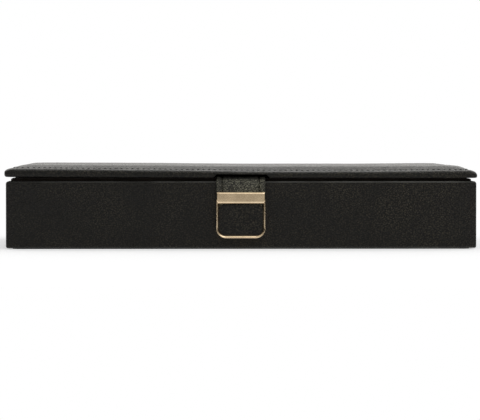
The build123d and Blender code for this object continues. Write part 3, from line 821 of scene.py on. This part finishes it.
class CUFFLINK_OT_lid_stitches(bpy.types.Operator):
    """Row of stitches round the lid's top, near its edge"""

    bl_idname = "cufflink_box.lid_stitches"
    bl_label = "Lid stitches"

    def execute(self, context):
        lid = settings().lid
        inset, depth = lid.stitch_inset / MM, lid.seam_depth / MM
        height = float(crown_height(inset, inset, depth))
        line = lid_skin([(inset, height)], lid_pattern())[0]
        line = np.concatenate([line, line[:1]])
        around = np.linalg.norm(np.diff(line, axis=0), axis=1).sum()
        count = round(around / (lid.stitch_pitch / MM))
        places, along = resample(line, (np.arange(count) + 0.5) * around / count)
        up = np.broadcast_to([0.0, 0.0, 1.0], along.shape)
        points, faces = stitches(places, along, up, lid.stitch_length / MM, lid.thread / MM, 0.02)
        row = piece("lid_stitches", points, faces, 60, 1e-5)
        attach(dress(row, "black_leather", "thread"), "lid")
        return {"FINISHED"}


class CUFFLINK_OT_lid_lining(bpy.types.Operator):
    """Suede panel under the lid, slightly padded"""

    bl_idname = "cufflink_box.lid_lining"
    bl_label = "Lid lining"

    def execute(self, context):
        low, high = PANEL_LOW[2], PANEL_HIGH[2]
        half = (PANEL_HIGH - PANEL_LOW)[:2] / 2
        side = [(0.0, high + 1.1), (0.0, high - 0.8), (0.15, high - 1.4)]
        side += [(0.55, low + 0.42), (1.3, low + 0.2)]
        inner = [(d, low + 0.2 * math.exp(-d / 7)) for d in (3.0, 5.0, 8.0, 12.0, 18.0, 26.0, 38.0, 55.0)]
        pattern = walk(even_shares(60), even_shares(40), 5)
        points, faces = pillow(half, 0.8, [*side, *inner], pattern)
        panel = piece("lid_suede_panel", points, faces.tolist(), 50)
        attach(dress(panel, "suede_lining"), "lid")
        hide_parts("lid_panel")
        return {"FINISHED"}


# --- Strap and clasp ------------------------------------------------------------------------------

BEND_LOW = cad_box("strap_bend")[0]
TONGUE_LOW, TONGUE_HIGH = cad_box("strap_tongue")
FRAME_LOW, FRAME_HIGH = cad_box("clasp_frame")
INLAY_LOW, INLAY_HIGH = cad_box("clasp_inlay")
STRAP_THICK = STRAP_HIGH[2] - STRAP_LOW[2]
STRAP_MIDDLE_Z = (STRAP_HIGH[2] + STRAP_LOW[2]) / 2
STRAP_MIDDLE_Y = (TONGUE_LOW[1] + TONGUE_HIGH[1]) / 2
NARROW_Z = 32.2
NARROW_HALF = 13.9
STRAP_CORNER = 4.3
BAR_FOOT = 29.2
BAR_TOP = FRAME_HIGH[2] + 0.3
RIM_FOOT = FRAME_LOW[2] + 0.9
RIM_WIDTH = 1.5
RIM_CORNER = 6.2
BEND_START = (STRAP_LOW[1] - 1.8, STRAP_MIDDLE_Z - 0.9)
BEND_END = (STRAP_MIDDLE_Y, BEND_LOW[2])


def hung(thing):
    """Moves a finished piece's points sideways to where the strap hangs."""
    places = np.zeros(len(thing.data.vertices) * 3, np.float32)
    thing.data.vertices.foreach_get("co", places)
    places[::3] += settings().strap.side
    thing.data.vertices.foreach_set("co", places)
    return thing


def strap_path():
    """Middle line of the strap in Y and Z, and the directions that point out of its outer face.

    Straight under the lid, a cubic curve down over the rim, whose point at k is
    (1-k)^3 a + 3k(1-k)^2 b + 3k^2(1-k) c + k^3 d, and straight down the front.
    """
    root_y = np.linspace(STRAP_HIGH[1], STRAP_LOW[1] + 3.9, 5)[:-1]
    corners = [(STRAP_LOW[1] + 3.9, STRAP_MIDDLE_Z), (STRAP_LOW[1] + 0.9, STRAP_MIDDLE_Z)]
    corners += [(STRAP_MIDDLE_Y, BEND_LOW[2] + 2.2), (STRAP_MIDDLE_Y, BEND_LOW[2])]
    k = np.linspace(0, 1, 17)[:, None]
    a, b, c, d = np.array(corners)
    bend = (1 - k) ** 3 * a + 3 * k * (1 - k) ** 2 * b + 3 * k**2 * (1 - k) * c + k**3 * d
    hang_z = np.concatenate(
        [
            np.linspace(BEND_LOW[2], NARROW_Z, 9)[1:],
            np.linspace(NARROW_Z - 0.2, TONGUE_LOW[2] + STRAP_CORNER, 9),
            TONGUE_LOW[2] + STRAP_CORNER * (1 - np.sin(np.linspace(0, math.pi / 2, 9)[1:])),
        ]
    )
    root = np.stack([root_y, np.full(4, STRAP_MIDDLE_Z)], -1)
    hang = np.stack([np.full(len(hang_z), STRAP_MIDDLE_Y), hang_z], -1)
    path = np.concatenate([root, bend, hang])
    along = np.gradient(path, axis=0)
    along /= np.linalg.norm(along, axis=1, keepdims=True)
    return path, np.stack([along[:, 1], -along[:, 0]], -1)


def strap_section(half, thick, seam_x):
    """Closed section of the strap, outer face first, as shares of its half width and a depth."""
    face = [half - 0.5, half - 1.6, seam_x + 0.6, seam_x + 0.25, seam_x, seam_x - 0.25, seam_x - 0.6]
    face += [seam_x - 2, 6.0, 3.0]
    outer = np.array([*face, 0.0, *[-x for x in reversed(face)]])
    rim = np.array([half - 0.15, half, half])
    t = thick / 2
    depth = [0.75 * t, 0.25 * t, -0.4 * t]
    inner = np.array([half - 0.3, 10.0, 0.0, -10.0, -half + 0.3])
    across = np.concatenate([rim[::-1], outer, -rim, -inner])
    heights = np.concatenate([depth[::-1], np.full(len(outer), t), depth, np.full(len(inner), -t)])
    return np.stack([across / half, heights], -1)


class CUFFLINK_OT_strap(bpy.types.Operator):
    """Leather strap in one length from the lid's underside to its end in the clasp, with its seams"""

    bl_idname = "cufflink_box.strap"
    bl_label = "Strap"

    def execute(self, context):
        strap = settings().strap
        half = (STRAP_HIGH[0] - STRAP_LOW[0]) / 2
        path, out = strap_path()
        section = strap_section(half, STRAP_THICK, half - strap.seam_inset / MM)
        rest = np.clip(path[:, 1] - TONGUE_LOW[2], 0, STRAP_CORNER)
        corner = STRAP_CORNER - np.sqrt(STRAP_CORNER**2 - (STRAP_CORNER - rest) ** 2)
        widths = np.where(path[:, 1] >= NARROW_Z, half, NARROW_HALF - corner)
        seam_x = half - strap.seam_inset / MM
        across = np.abs(section[:, 0]) * half
        dip = np.exp(-(((across - seam_x) / 0.5) ** 2)) * (section[:, 1] >= STRAP_THICK / 2)
        shown = (path[:, 0] < STRAP_LOW[1] + 3) & (path[:, 1] > FRAME_HIGH[2] - 1)
        seams = shown[:, None] * dip[None] * strap.seam_depth / MM
        swell = 0.12 * np.cos(section[:, 0] * math.pi / 2) * (section[:, 1] >= STRAP_THICK / 2)
        seams = seams - shown[:, None] * swell[None]
        points, faces = carried(path, out, section, widths, seams)
        body = piece("clasp_strap", points, faces, 50)
        dress(body, "strap_leather")
        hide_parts("strap_root", "strap_bend", "strap_tongue")

        inside = (path[:, 0] <= STRAP_LOW[1] - 0.6) & (path[:, 1] > FRAME_HIGH[2] - 0.4)
        surface = path[inside] + out[inside] * (STRAP_THICK / 2 - strap.seam_depth / MM)
        parts = []
        for side in (-1, 1):
            line = np.column_stack([np.full(len(surface), side * seam_x), surface])
            around = np.linalg.norm(np.diff(line, axis=0), axis=1).sum()
            marks = np.arange(0.9, around - 0.4, strap.stitch_pitch / MM)
            places, along = resample(line, marks)
            up = np.cross(along, np.array([1.0, 0, 0]))
            up *= np.sign(up[:, 2:] - up[:, 1:2])
            parts.append(stitches(places, along, up, strap.stitch_length / MM, 0.6, 0.0))
        thread = piece("strap_stitches", *joined(parts), 60, 1e-5)
        dress(thread, "strap_leather", "thread")
        start, end = [(0, y * MM, z * MM) for y, z in (BEND_START, BEND_END)]
        for thing in (body, thread):
            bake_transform(hung(thing))
        return {"FINISHED"}


class CUFFLINK_OT_clasp_metal(bpy.types.Operator):
    """Cast metal of the clasp: a bevelled bar over a rounded U-shaped rim"""

    bl_idname = "cufflink_box.clasp_metal"
    bl_label = "Clasp metal"

    def rim(self):
        """Rim of the section carried down one side, round two corners and up the other side.

        The section rises at a slant from its inner side to a narrow round crest, and falls away
        steeply at its outer side. It is steeper by four fifths where it runs upright.
        """
        outer = FRAME_HIGH[0] - RIM_WIDTH / 2
        foot = RIM_FOOT + RIM_WIDTH / 2
        r = RIM_CORNER - RIM_WIDTH / 2
        turn = np.linspace(0, math.pi / 2, 15)
        down = np.linspace(BAR_FOOT + 2.5, foot + r, 12)[:-1]
        left = np.stack([np.full(11, -outer), down], -1)
        first = np.stack([-outer + r * (1 - np.cos(turn)), foot + r * (1 - np.sin(turn))], -1)
        half = np.concatenate([left, first])
        line = np.concatenate([half, [[0.0, foot]], half[::-1] * [-1, 1]])
        along = np.gradient(line, axis=0)
        along /= np.linalg.norm(along, axis=1, keepdims=True)
        out = np.stack([along[:, 1], -along[:, 0]], -1)
        share = np.array([1.0, 0.98, 0.85, 0.6, 0.3, 0.0, -0.3, -0.55, -0.75, -0.9, -1.0, -1.0])
        drop = np.array([1.2, 0.64, 0.53, 0.38, 0.22, 0.09, 0.02, 0.0, 0.06, 0.22, 0.55, 1.2])
        front, back = -FRAME_LOW[1], -FRAME_HIGH[1]
        slope = np.minimum(drop * (1 + 0.8 * np.abs(out[:, :1])), drop.max()) - front
        wide = np.array([1.0, *share, -1.0]) * RIM_WIDTH / 2
        depth = np.pad(slope, ((0, 0), (1, 1)), constant_values=-back)
        flat = line[:, None] - out[:, None] * wide[None, :, None]
        return capped(np.stack([flat[..., 0], depth, flat[..., 1]], -1))

    def execute(self, context):
        bar_half = (FRAME_HIGH[0] - 0.4, (BAR_TOP - BAR_FOOT) / 2)
        thick = TONGUE_LOW[1] - FRAME_LOW[1]
        profile = [(0.0, 0.0), (0.0, thick - 0.75), (0.12, thick - 0.62), (0.75, thick - 0.06)]
        profile += [(0.95, thick), (1.0, thick), (1.5, thick)]
        points, faces = pillow(bar_half, 0.35, profile, walk(even_shares(30), even_shares(8), 5))
        inset = np.array([bar_half[1], *[d for d, _ in profile], bar_half[1]])
        x = points[..., 0] * (1 + 0.75 * inset / (bar_half[0] - inset))[:, None]
        z, depth = points[..., 1], points[..., 2]
        middle = (BAR_TOP + BAR_FOOT) / 2
        plate = np.stack([x, TONGUE_LOW[1] - depth, z + middle], -1)
        frame_piece = piece("clasp_rim", *joined([(plate, faces.tolist()), self.rim()]), 35)
        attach(hung(dress(frame_piece, "pale_gold")), "clasp")
        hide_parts("clasp_frame")
        return {"FINISHED"}


class CUFFLINK_OT_clasp_leather(bpy.types.Operator):
    """Leather inlay of the clasp, with a soft crown inside the metal rim"""

    bl_idname = "cufflink_box.clasp_leather"
    bl_label = "Clasp leather"

    def execute(self, context):
        foot = RIM_FOOT + RIM_WIDTH - 0.1
        half = (FRAME_HIGH[0] - RIM_WIDTH + 0.1, (INLAY_HIGH[2] - foot) / 2)
        thick = INLAY_HIGH[1] - INLAY_LOW[1]
        profile = [(0.0, 0.0), (0.0, thick * 0.45), (0.08, thick * 0.62), (0.3, thick * 0.76)]
        profile += [(0.7, thick * 0.85), (1.4, thick * 0.91), (2.6, thick * 0.95), (4.5, thick * 0.98)]
        centres, directions = walk(even_shares(24), even_shares(18), 9)
        points, faces = pillow(half, 4.0, [*profile, (7.0, thick)], (centres, directions))
        top_sharper = np.clip(points[..., 1] / half[1], 0, 1) ** 6 * 0.25
        points[..., 0] += np.sign(points[..., 0]) * top_sharper * (np.abs(points[..., 0]) / half[0]) ** 6
        x, z, depth = points[..., 0], points[..., 1], points[..., 2]
        placed = np.stack([x, INLAY_HIGH[1] - depth, z + (foot + INLAY_HIGH[2]) / 2], -1)
        inlay = piece("clasp_leather", placed, faces.tolist(), 60)
        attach(hung(dress(inlay, "strap_leather", "black_leather")), "clasp")
        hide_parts("clasp_inlay")
        return {"FINISHED"}


# --- Tray -----------------------------------------------------------------------------------------

TRAY_LOW, TRAY_HIGH = cad_box("tray_pad")
NECK_LOW, NECK_HIGH = cad_box("front_liner")
GRID_HIGH = cad_box("long_divider_1")[1]
NECK_OUTER = np.array([NECK_HIGH[0], -NECK_LOW[1]])
RIM_LEVEL = cad_box("leather_wrap")[1][2] + 0.05


def middles(names, axis):
    """Where the dividers of these names stand on an axis."""
    return [float(sum(corner[axis] for corner in cad_box(name)) / 2) for name in names]


def cushion(half, low, high, lines_x, lines_y, dip, step, slack=0.15):
    """Closed pad whose top swells between lines pressed into it.

    At a place whose nearest line stands at the distance d, the top is at
    high - dip * exp(-(d / 1.6)^2) - slack * exp(-d / 6).
    """
    beside = np.array([-1.5, 0, 1.5])
    x, y = [
        np.unique([*np.linspace(-h, h, int(2 * h / step)), *np.add.outer(lines, beside).ravel()])
        for h, lines in zip(half, (lines_x, lines_y))
    ]
    gx, gy = np.meshgrid(x, y, indexing="ij")
    dx = np.min([np.abs(gx - line) for line in (-half[0], half[0], *lines_x)], 0)
    dy = np.min([np.abs(gy - line) for line in (-half[1], half[1], *lines_y)], 0)
    d = np.minimum(dx, dy)
    top = high - dip * np.exp(-((d / 1.6) ** 2)) - slack * np.exp(-d / 6)
    rows, columns = gx.shape
    upper = np.stack([gx, gy, top], -1)
    lower = np.stack([gx, gy, np.full_like(gx, low)], -1)
    cells = quads(rows, columns)
    index = np.arange(rows * columns).reshape(rows, columns)
    rim = np.concatenate([index[:-1, 0], index[-1, :-1], index[:0:-1, -1], index[0, :0:-1]])
    around = np.stack([rim, np.roll(rim, -1), np.roll(rim, -1) + rows * columns, rim + rows * columns], -1)
    faces = [*cells.tolist(), *(cells[:, ::-1] + rows * columns).tolist(), *around.tolist()]
    return np.concatenate([upper.reshape(-1, 3), lower.reshape(-1, 3)]), faces


class CUFFLINK_OT_tray(bpy.types.Operator):
    """Suede of the tray: the neck round it, the cushion under it and the compartments"""

    bl_idname = "cufflink_box.tray"
    bl_label = "Tray"

    def execute(self, context):
        thick = NECK_OUTER[0] - TRAY_HIGH[0]
        turn = np.linspace(0, math.pi, 9)
        top = NECK_HIGH[2] - 0.9
        upright = [(thick, NECK_LOW[2]), (thick, NECK_LOW[2] + 6), (thick, NECK_LOW[2] + 13)]
        upright += [(thick / 2 * (1 + math.cos(a)), top + 0.9 * math.sin(a)) for a in turn]
        upright += [(0.0, NECK_LOW[2] + 13), (0.0, NECK_LOW[2] + 6), (0.0, NECK_LOW[2])]
        profile = [(thick - inset, z) for inset, z in upright]
        roll = [(0.0, RIM_LEVEL), (-1.7, RIM_LEVEL + 0.05), (-1.9, RIM_LEVEL + 0.35)]
        roll += [(-1.8, top + 0.3), (-0.9, top + 0.75)]
        profile = [*profile[:3], *roll, *profile[6:]]
        points = rings(NECK_OUTER, 1.2, profile, walk(even_shares(36), even_shares(24), 4))
        x, y, z = points[..., 0], points[..., 1], points[..., 2]
        y = np.clip(y, -NECK_OUTER[1] - 0.3, NECK_OUTER[1])
        share = np.clip((z - RIM_LEVEL) / (NECK_HIGH[2] - RIM_LEVEL), 0, 1)
        points = np.stack([x, y, z + 0.6 * share * leaning(x, y, LID_LOW[2])], -1)
        ways = quads(*points.shape[:2], close_rows=True, close_columns=True)
        neck = piece("neck_lining", points, ways.tolist(), 50)
        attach(dress(neck, "suede_lining"), "case")
        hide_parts("front_liner", "back_liner", "left_liner", "right_liner")

        long_names = [f"long_divider_{n}" for n in range(1, 4)]
        cross_names = [f"cross_divider_{n}" for n in range(1, 6)]
        lines_y, lines_x = middles(long_names, 1), middles(cross_names, 0)
        half = TRAY_HIGH[:2]
        low, high = TRAY_LOW[2], TRAY_HIGH[2]
        pad = piece("tray_cushion", *cushion(half, low, high, lines_x, lines_y, 0.7, 3.4), 60)
        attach(dress(pad, "suede_lining"), "case")
        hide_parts("tray_pad")

        foot, thick = high - 0.75, cad_box(long_names[0])[1][1] - cad_box(long_names[0])[0][1]
        section = board_section(thick, foot, GRID_HIGH[2], 0.95, 9)
        long_strip = bar(2 * half[0] - 0.2, section, 40)
        cross_strip = bar(2 * half[1] - 0.2, section, 28)
        longs = [(long_strip[0] + [0, y, 0], long_strip[1]) for y in lines_y]
        crosses = [(turned(cross_strip[0], 1) + [x, 0, 0], cross_strip[1]) for x in lines_x]
        grid = piece("compartment_grid", *joined(longs), 40)
        cutter = piece("cross_strips", *joined(crosses), 40)
        union = grid.modifiers.new("halved_joints", "BOOLEAN")
        union.operation = "UNION"
        union.solver = "EXACT"
        union.object = cutter
        result = grid.evaluated_get(bpy.context.evaluated_depsgraph_get())
        mesh = bpy.data.meshes.new_from_object(result)
        grid.modifiers.clear()
        grid.data = mesh
        bpy.data.objects.remove(cutter)
        mesh.shade_smooth()
        mesh.set_sharp_from_angle(angle=math.radians(40))
        mesh.materials.clear()
        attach(dress(grid, "suede_lining"), "case")
        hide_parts(*long_names, *cross_names)
        return {"FINISHED"}


# --- Drawer ---------------------------------------------------------------------------------------


class CUFFLINK_OT_drawer_lining(bpy.types.Operator):
    """Suede cushion and partitions in the drawer"""

    bl_idname = "cufflink_box.drawer_lining"
    bl_label = "Drawer lining"

    def execute(self, context):
        low, high = cad_box("drawer_lining")
        names = ("drawer_front_divider", "drawer_back_divider")
        lines = middles(names, 1)
        half = (high - low)[:2] / 2
        centre = (high + low) / 2
        points, faces = cushion(half, low[2], high[2], [], lines, 0.5, 4.0, 0.1)
        points[:, :2] += centre[:2]
        pad = piece("drawer_cushion", points, faces, 60)
        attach(dress(pad, "suede_lining"), "drawer")
        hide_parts("drawer_lining")

        first, last = cad_box(names[0])
        section = board_section(last[1] - first[1], high[2] - 0.5, last[2], 0.95, 9)
        strip = bar(last[0] - first[0], section, 40)
        shift = (first[0] + last[0]) / 2
        rows = [(strip[0] + [shift, y, 0], strip[1]) for y in lines]
        partitions = piece("drawer_partitions", *joined(rows), 40)
        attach(dress(partitions, "suede_lining"), "drawer")
        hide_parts(*names)
        return {"FINISHED"}


class CUFFLINK_OT_drawer_pull(bpy.types.Operator):
    """Leather tab that comes out of its recess in the drawer's front and hangs down"""

    bl_idname = "cufflink_box.drawer_pull"
    bl_label = "Drawer pull"

    def execute(self, context):
        root_low, root_high = cad_box("pull_root")
        tab_low, tab_high = cad_box("pull_tab")
        thick = root_high[2] - root_low[2]
        z = (root_low[2] + root_high[2]) / 2
        x = (tab_low[0] + tab_high[0]) / 2
        half = root_high[1]
        bend = 0.62
        turn = np.linspace(0, math.pi / 2, 7)
        corner = 3.0
        foot = tab_low[2]
        root = np.stack([np.linspace(root_low[0], x - bend, 6)[:-1], np.full(5, z)], -1)
        arc = np.stack([x - bend + bend * np.sin(turn), z - bend + bend * np.cos(turn)], -1)
        falling = np.concatenate(
            [
                np.linspace(z - bend, foot + corner, 6)[1:],
                foot + corner * (1 - np.sin(np.linspace(0, math.pi / 2, 9)[1:])),
            ]
        )
        hang = np.stack([np.full(len(falling), x), falling], -1)
        path = np.concatenate([root, arc, hang])
        bent = np.stack([np.sin(turn), np.cos(turn)], -1)
        out = np.concatenate([np.tile([0.0, 1.0], (5, 1)), bent, np.tile([1.0, 0.0], (len(hang), 1))])
        rest = np.clip(path[:, 1] - foot, 0, corner)
        widths = half - np.where(path[:, 0] > x - 0.01, corner - np.sqrt(corner**2 - (corner - rest) ** 2), 0)
        section = strap_section(half, thick, half - 2.0)
        across = np.abs(section[:, 0]) * half
        dip = np.exp(-(((across - half + 2.0) / 0.35) ** 2)) * (section[:, 1] >= thick / 2)
        shown = (path[:, 0] > x - bend) & (path[:, 1] > foot + corner)
        points, faces = carried(path, out, section, widths, shown[:, None] * dip[None] * 0.2)
        placed = np.stack([points[..., 1], points[..., 0], points[..., 2]], -1)
        tab = piece("drawer_pull", placed, faces, 50)
        dress(tab, "strap_leather")
        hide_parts("pull_root", "pull_tab")
        start = ((x - bend) * MM, 0, z * MM)
        end = (x * MM, 0, (z - bend) * MM)
        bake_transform(tab)
        return {"FINISHED"}


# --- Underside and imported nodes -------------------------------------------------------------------


class CUFFLINK_OT_felt_foot(bpy.types.Operator):
    """Felt glued under the case"""

    bl_idname = "cufflink_box.felt_foot"
    bl_label = "Felt under the case"

    def execute(self, context):
        low, high = cad_box("base_felt")
        half = (high - low)[:2] / 2
        pattern = walk(even_shares(50), even_shares(34), 6)
        points, faces = pillow(half, 4.0, soft_edge(low[2], high[2], 0.2), pattern)
        felt = piece("felt_foot", points, faces.tolist(), 50)
        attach(dress(felt, "base_felt"), "case")
        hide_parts("base_felt")
        2 * half[0] * MM
        2 * half[1] * MM
        return {"FINISHED"}


class CUFFLINK_OT_finishes(bpy.types.Operator):
    """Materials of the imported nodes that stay"""

    bl_idname = "cufflink_box.finishes"
    bl_label = "Finishes"

    def execute(self, context):
        groups = {
            "case_leather": ["leather_wrap"],
            "black_leather": ["drawer_face"],
            "case_board": "base_infill base_board front_wall back_wall left_wall end_rail front_guide "
            "back_guide rear_stop shelf drawer_front".split(),
            "drawer_board": ["drawer_bottom", "drawer_front_side", "drawer_back_side", "drawer_end"],
            "slide_tape": ["slide_strips"],
            "steel": ["striker_plate"],
            "magnet_plate": ["clasp_magnet"],
            "pale_gold": "left_case_leaf right_case_leaf left_lid_leaf right_lid_leaf left_hinge_pin "
            "right_hinge_pin case_hinge_nails lid_hinge_nails".split(),
        }
        for slot, names in groups.items():
            for name in names:
                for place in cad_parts[name].material_slots:
                    place.material = finish(slot)
        return {"FINISHED"}


# --- Stage ----------------------------------------------------------------------------------------


class CUFFLINK_OT_stage(bpy.types.Operator):
    """White floor, plain soft light and the camera"""

    bl_idname = "cufflink_box.stage"
    bl_label = "Stage"

    def execute(self, context):
        stage = settings().stage
        self.floor(stage)
        self.surroundings(context.scene, stage)
        self.lamp("key_light", (0.35, -0.5, 0.8), math.radians(40), 0.45)
        self.lamp("back_light", (0.1, 0.75, 0.55), math.radians(60), 0.7)
        self.camera(context.scene, stage)
        return {"FINISHED"}

    def floor(self, stage):
        """Flat floor whose white is partly its own, for the camera and for reflections."""
        across, along = np.meshgrid(np.linspace(-420, 420, 7), np.linspace(-560, 600, 7))
        points = np.stack([across, along, np.full((7, 7), -0.05)], -1)
        floor = piece("floor", points, quads(7, 7).tolist())
        if floor.data.polygons[0].normal.z < 0:
            floor.data.flip_normals()
        made, tree = material("floor_white")
        direct = tree.ray("Camera")
        glossy = tree.ray("Glossy")
        own = (direct + glossy) * stage.floor_white
        paper = tree.noise(tree.place(), 0.0011, 2.0)
        tree.surface(
            Base_Color=tree.mixed(paper, scaled(stage.floor, 0.98), stage.floor),
            Roughness=0.9,
            Specular_IOR_Level=0.0,
            Emission_Color=tree.mixed(own, (0, 0, 0), (1, 1, 1)),
            Emission_Strength=1.0,
        )
        floor.data.materials.append(made)

    def surroundings(self, scene, stage):
        """White to the camera. In reflections the backdrop is white, the ceiling and the room in
        front are dimmer, the right side is dimmer still and the left side is dark. Everything else
        gets an even grey."""
        world = bpy.data.worlds.new("studio")
        world.use_nodes = True
        world.node_tree.nodes.clear()
        tree = Tree(world.node_tree.nodes, world.node_tree.links)
        way = tree.add("ShaderNodeTexCoord", {}, {}, "Generated")
        behind = tree.part(way, 1).ramp(0.1, 0.6)
        height = tree.part(way, 2)
        above = height.ramp(0.25, 0.8)
        beside = tree.part(way, 0)
        front = beside.ramp(-0.35, -0.08, 0.04, stage.front) * beside.ramp(0.3, 0.7, 1.0, 0.3)
        room = (front + (1 - front) * behind.maths("MAXIMUM", behind, above)) * height.ramp(
            0.35, 0.8, 1.0, stage.ceiling
        )
        direct = tree.ray("Camera")
        glossy = tree.ray("Glossy")
        through = tree.ray("Transmission")
        seen = direct.maths("MAXIMUM", direct, through)
        strength = (1 - seen) * ((1 - glossy) * stage.ambient + glossy * room) + seen
        tint = tree.mixed(glossy, (1, 1, 1), stage.warmth)
        light = tree.add(
            "ShaderNodeBackground", {}, {"Color": tint, "Strength": strength}, "Background"
        )
        tree.add("ShaderNodeOutputWorld", {}, {"Surface": light})
        scene.world = world

    def lamp(self, name, towards, spread, strength):
        """Far, broad soft light from a direction."""
        data = bpy.data.lights.new(name, "SUN")
        data.energy = strength
        data.angle = spread
        light = bpy.data.objects.new(name, data)
        light.rotation_euler = Vector(towards).to_track_quat("Z", "Y").to_euler()
        bpy.context.scene.collection.objects.link(light)

    def camera(self, scene, stage):
        """Camera at the photograph's place, looking at the middle of the picture."""
        front = LID_LOW[1] * MM
        data = bpy.data.cameras.new("camera")
        camera = bpy.data.objects.new("camera", data)
        place = Vector((stage.camera_side, front - stage.camera_distance, stage.camera_height))
        aim = Vector((stage.aim_side, front, stage.aim_height))
        camera.location = place
        camera.rotation_euler = (place - aim).to_track_quat("Z", "Y").to_euler()
        data.sensor_width = 36.0
        data.lens = data.sensor_width * stage.camera_distance / stage.frame_width
        data.clip_start = 0.05
        data.clip_end = 60.0
        scene.collection.objects.link(camera)
        scene.camera = camera
        scene.view_settings.view_transform = "Standard"


# --- Panel, registration and main -----------------------------------------------------------------

OPERATORS = (
    CUFFLINK_OT_lid_padding,
    CUFFLINK_OT_lid_stitches,
    CUFFLINK_OT_lid_lining,
    CUFFLINK_OT_strap,
    CUFFLINK_OT_clasp_metal,
    CUFFLINK_OT_clasp_leather,
    CUFFLINK_OT_tray,
    CUFFLINK_OT_drawer_lining,
    CUFFLINK_OT_drawer_pull,
    CUFFLINK_OT_felt_foot,
    CUFFLINK_OT_finishes,
    CUFFLINK_OT_stage,
)


class CUFFLINK_PT_panel(bpy.types.Panel):
    """The box's pieces, in the order in which they are made"""

    bl_idname = "CUFFLINK_PT_panel"
    bl_label = "Cufflink Box"
    bl_space_type = "VIEW_3D"
    bl_region_type = "UI"
    bl_category = "Cufflink Box"

    def draw(self, context):
        for operator in OPERATORS:
            self.layout.operator(operator.bl_idname)


CLASSES = (
    LidSettings,
    StrapSettings,
    LeatherSettings,
    LiningSettings,
    MetalSettings,
    StageSettings,
    BoxSettings,
    *OPERATORS,
    CUFFLINK_PT_panel,
)


def register():
    for cls in CLASSES:
        bpy.utils.register_class(cls)
    bpy.types.Scene.cufflink_box = PointerProperty(type=BoxSettings)


def unregister():
    del bpy.types.Scene.cufflink_box
    for cls in reversed(CLASSES):
        bpy.utils.unregister_class(cls)


def main():
    """Makes every piece in order."""
    register()
    for operator in OPERATORS:
        group, name = operator.bl_idname.split(".")
        getattr(getattr(bpy.ops, group), name)()


if __name__ == "__main__":
    main()
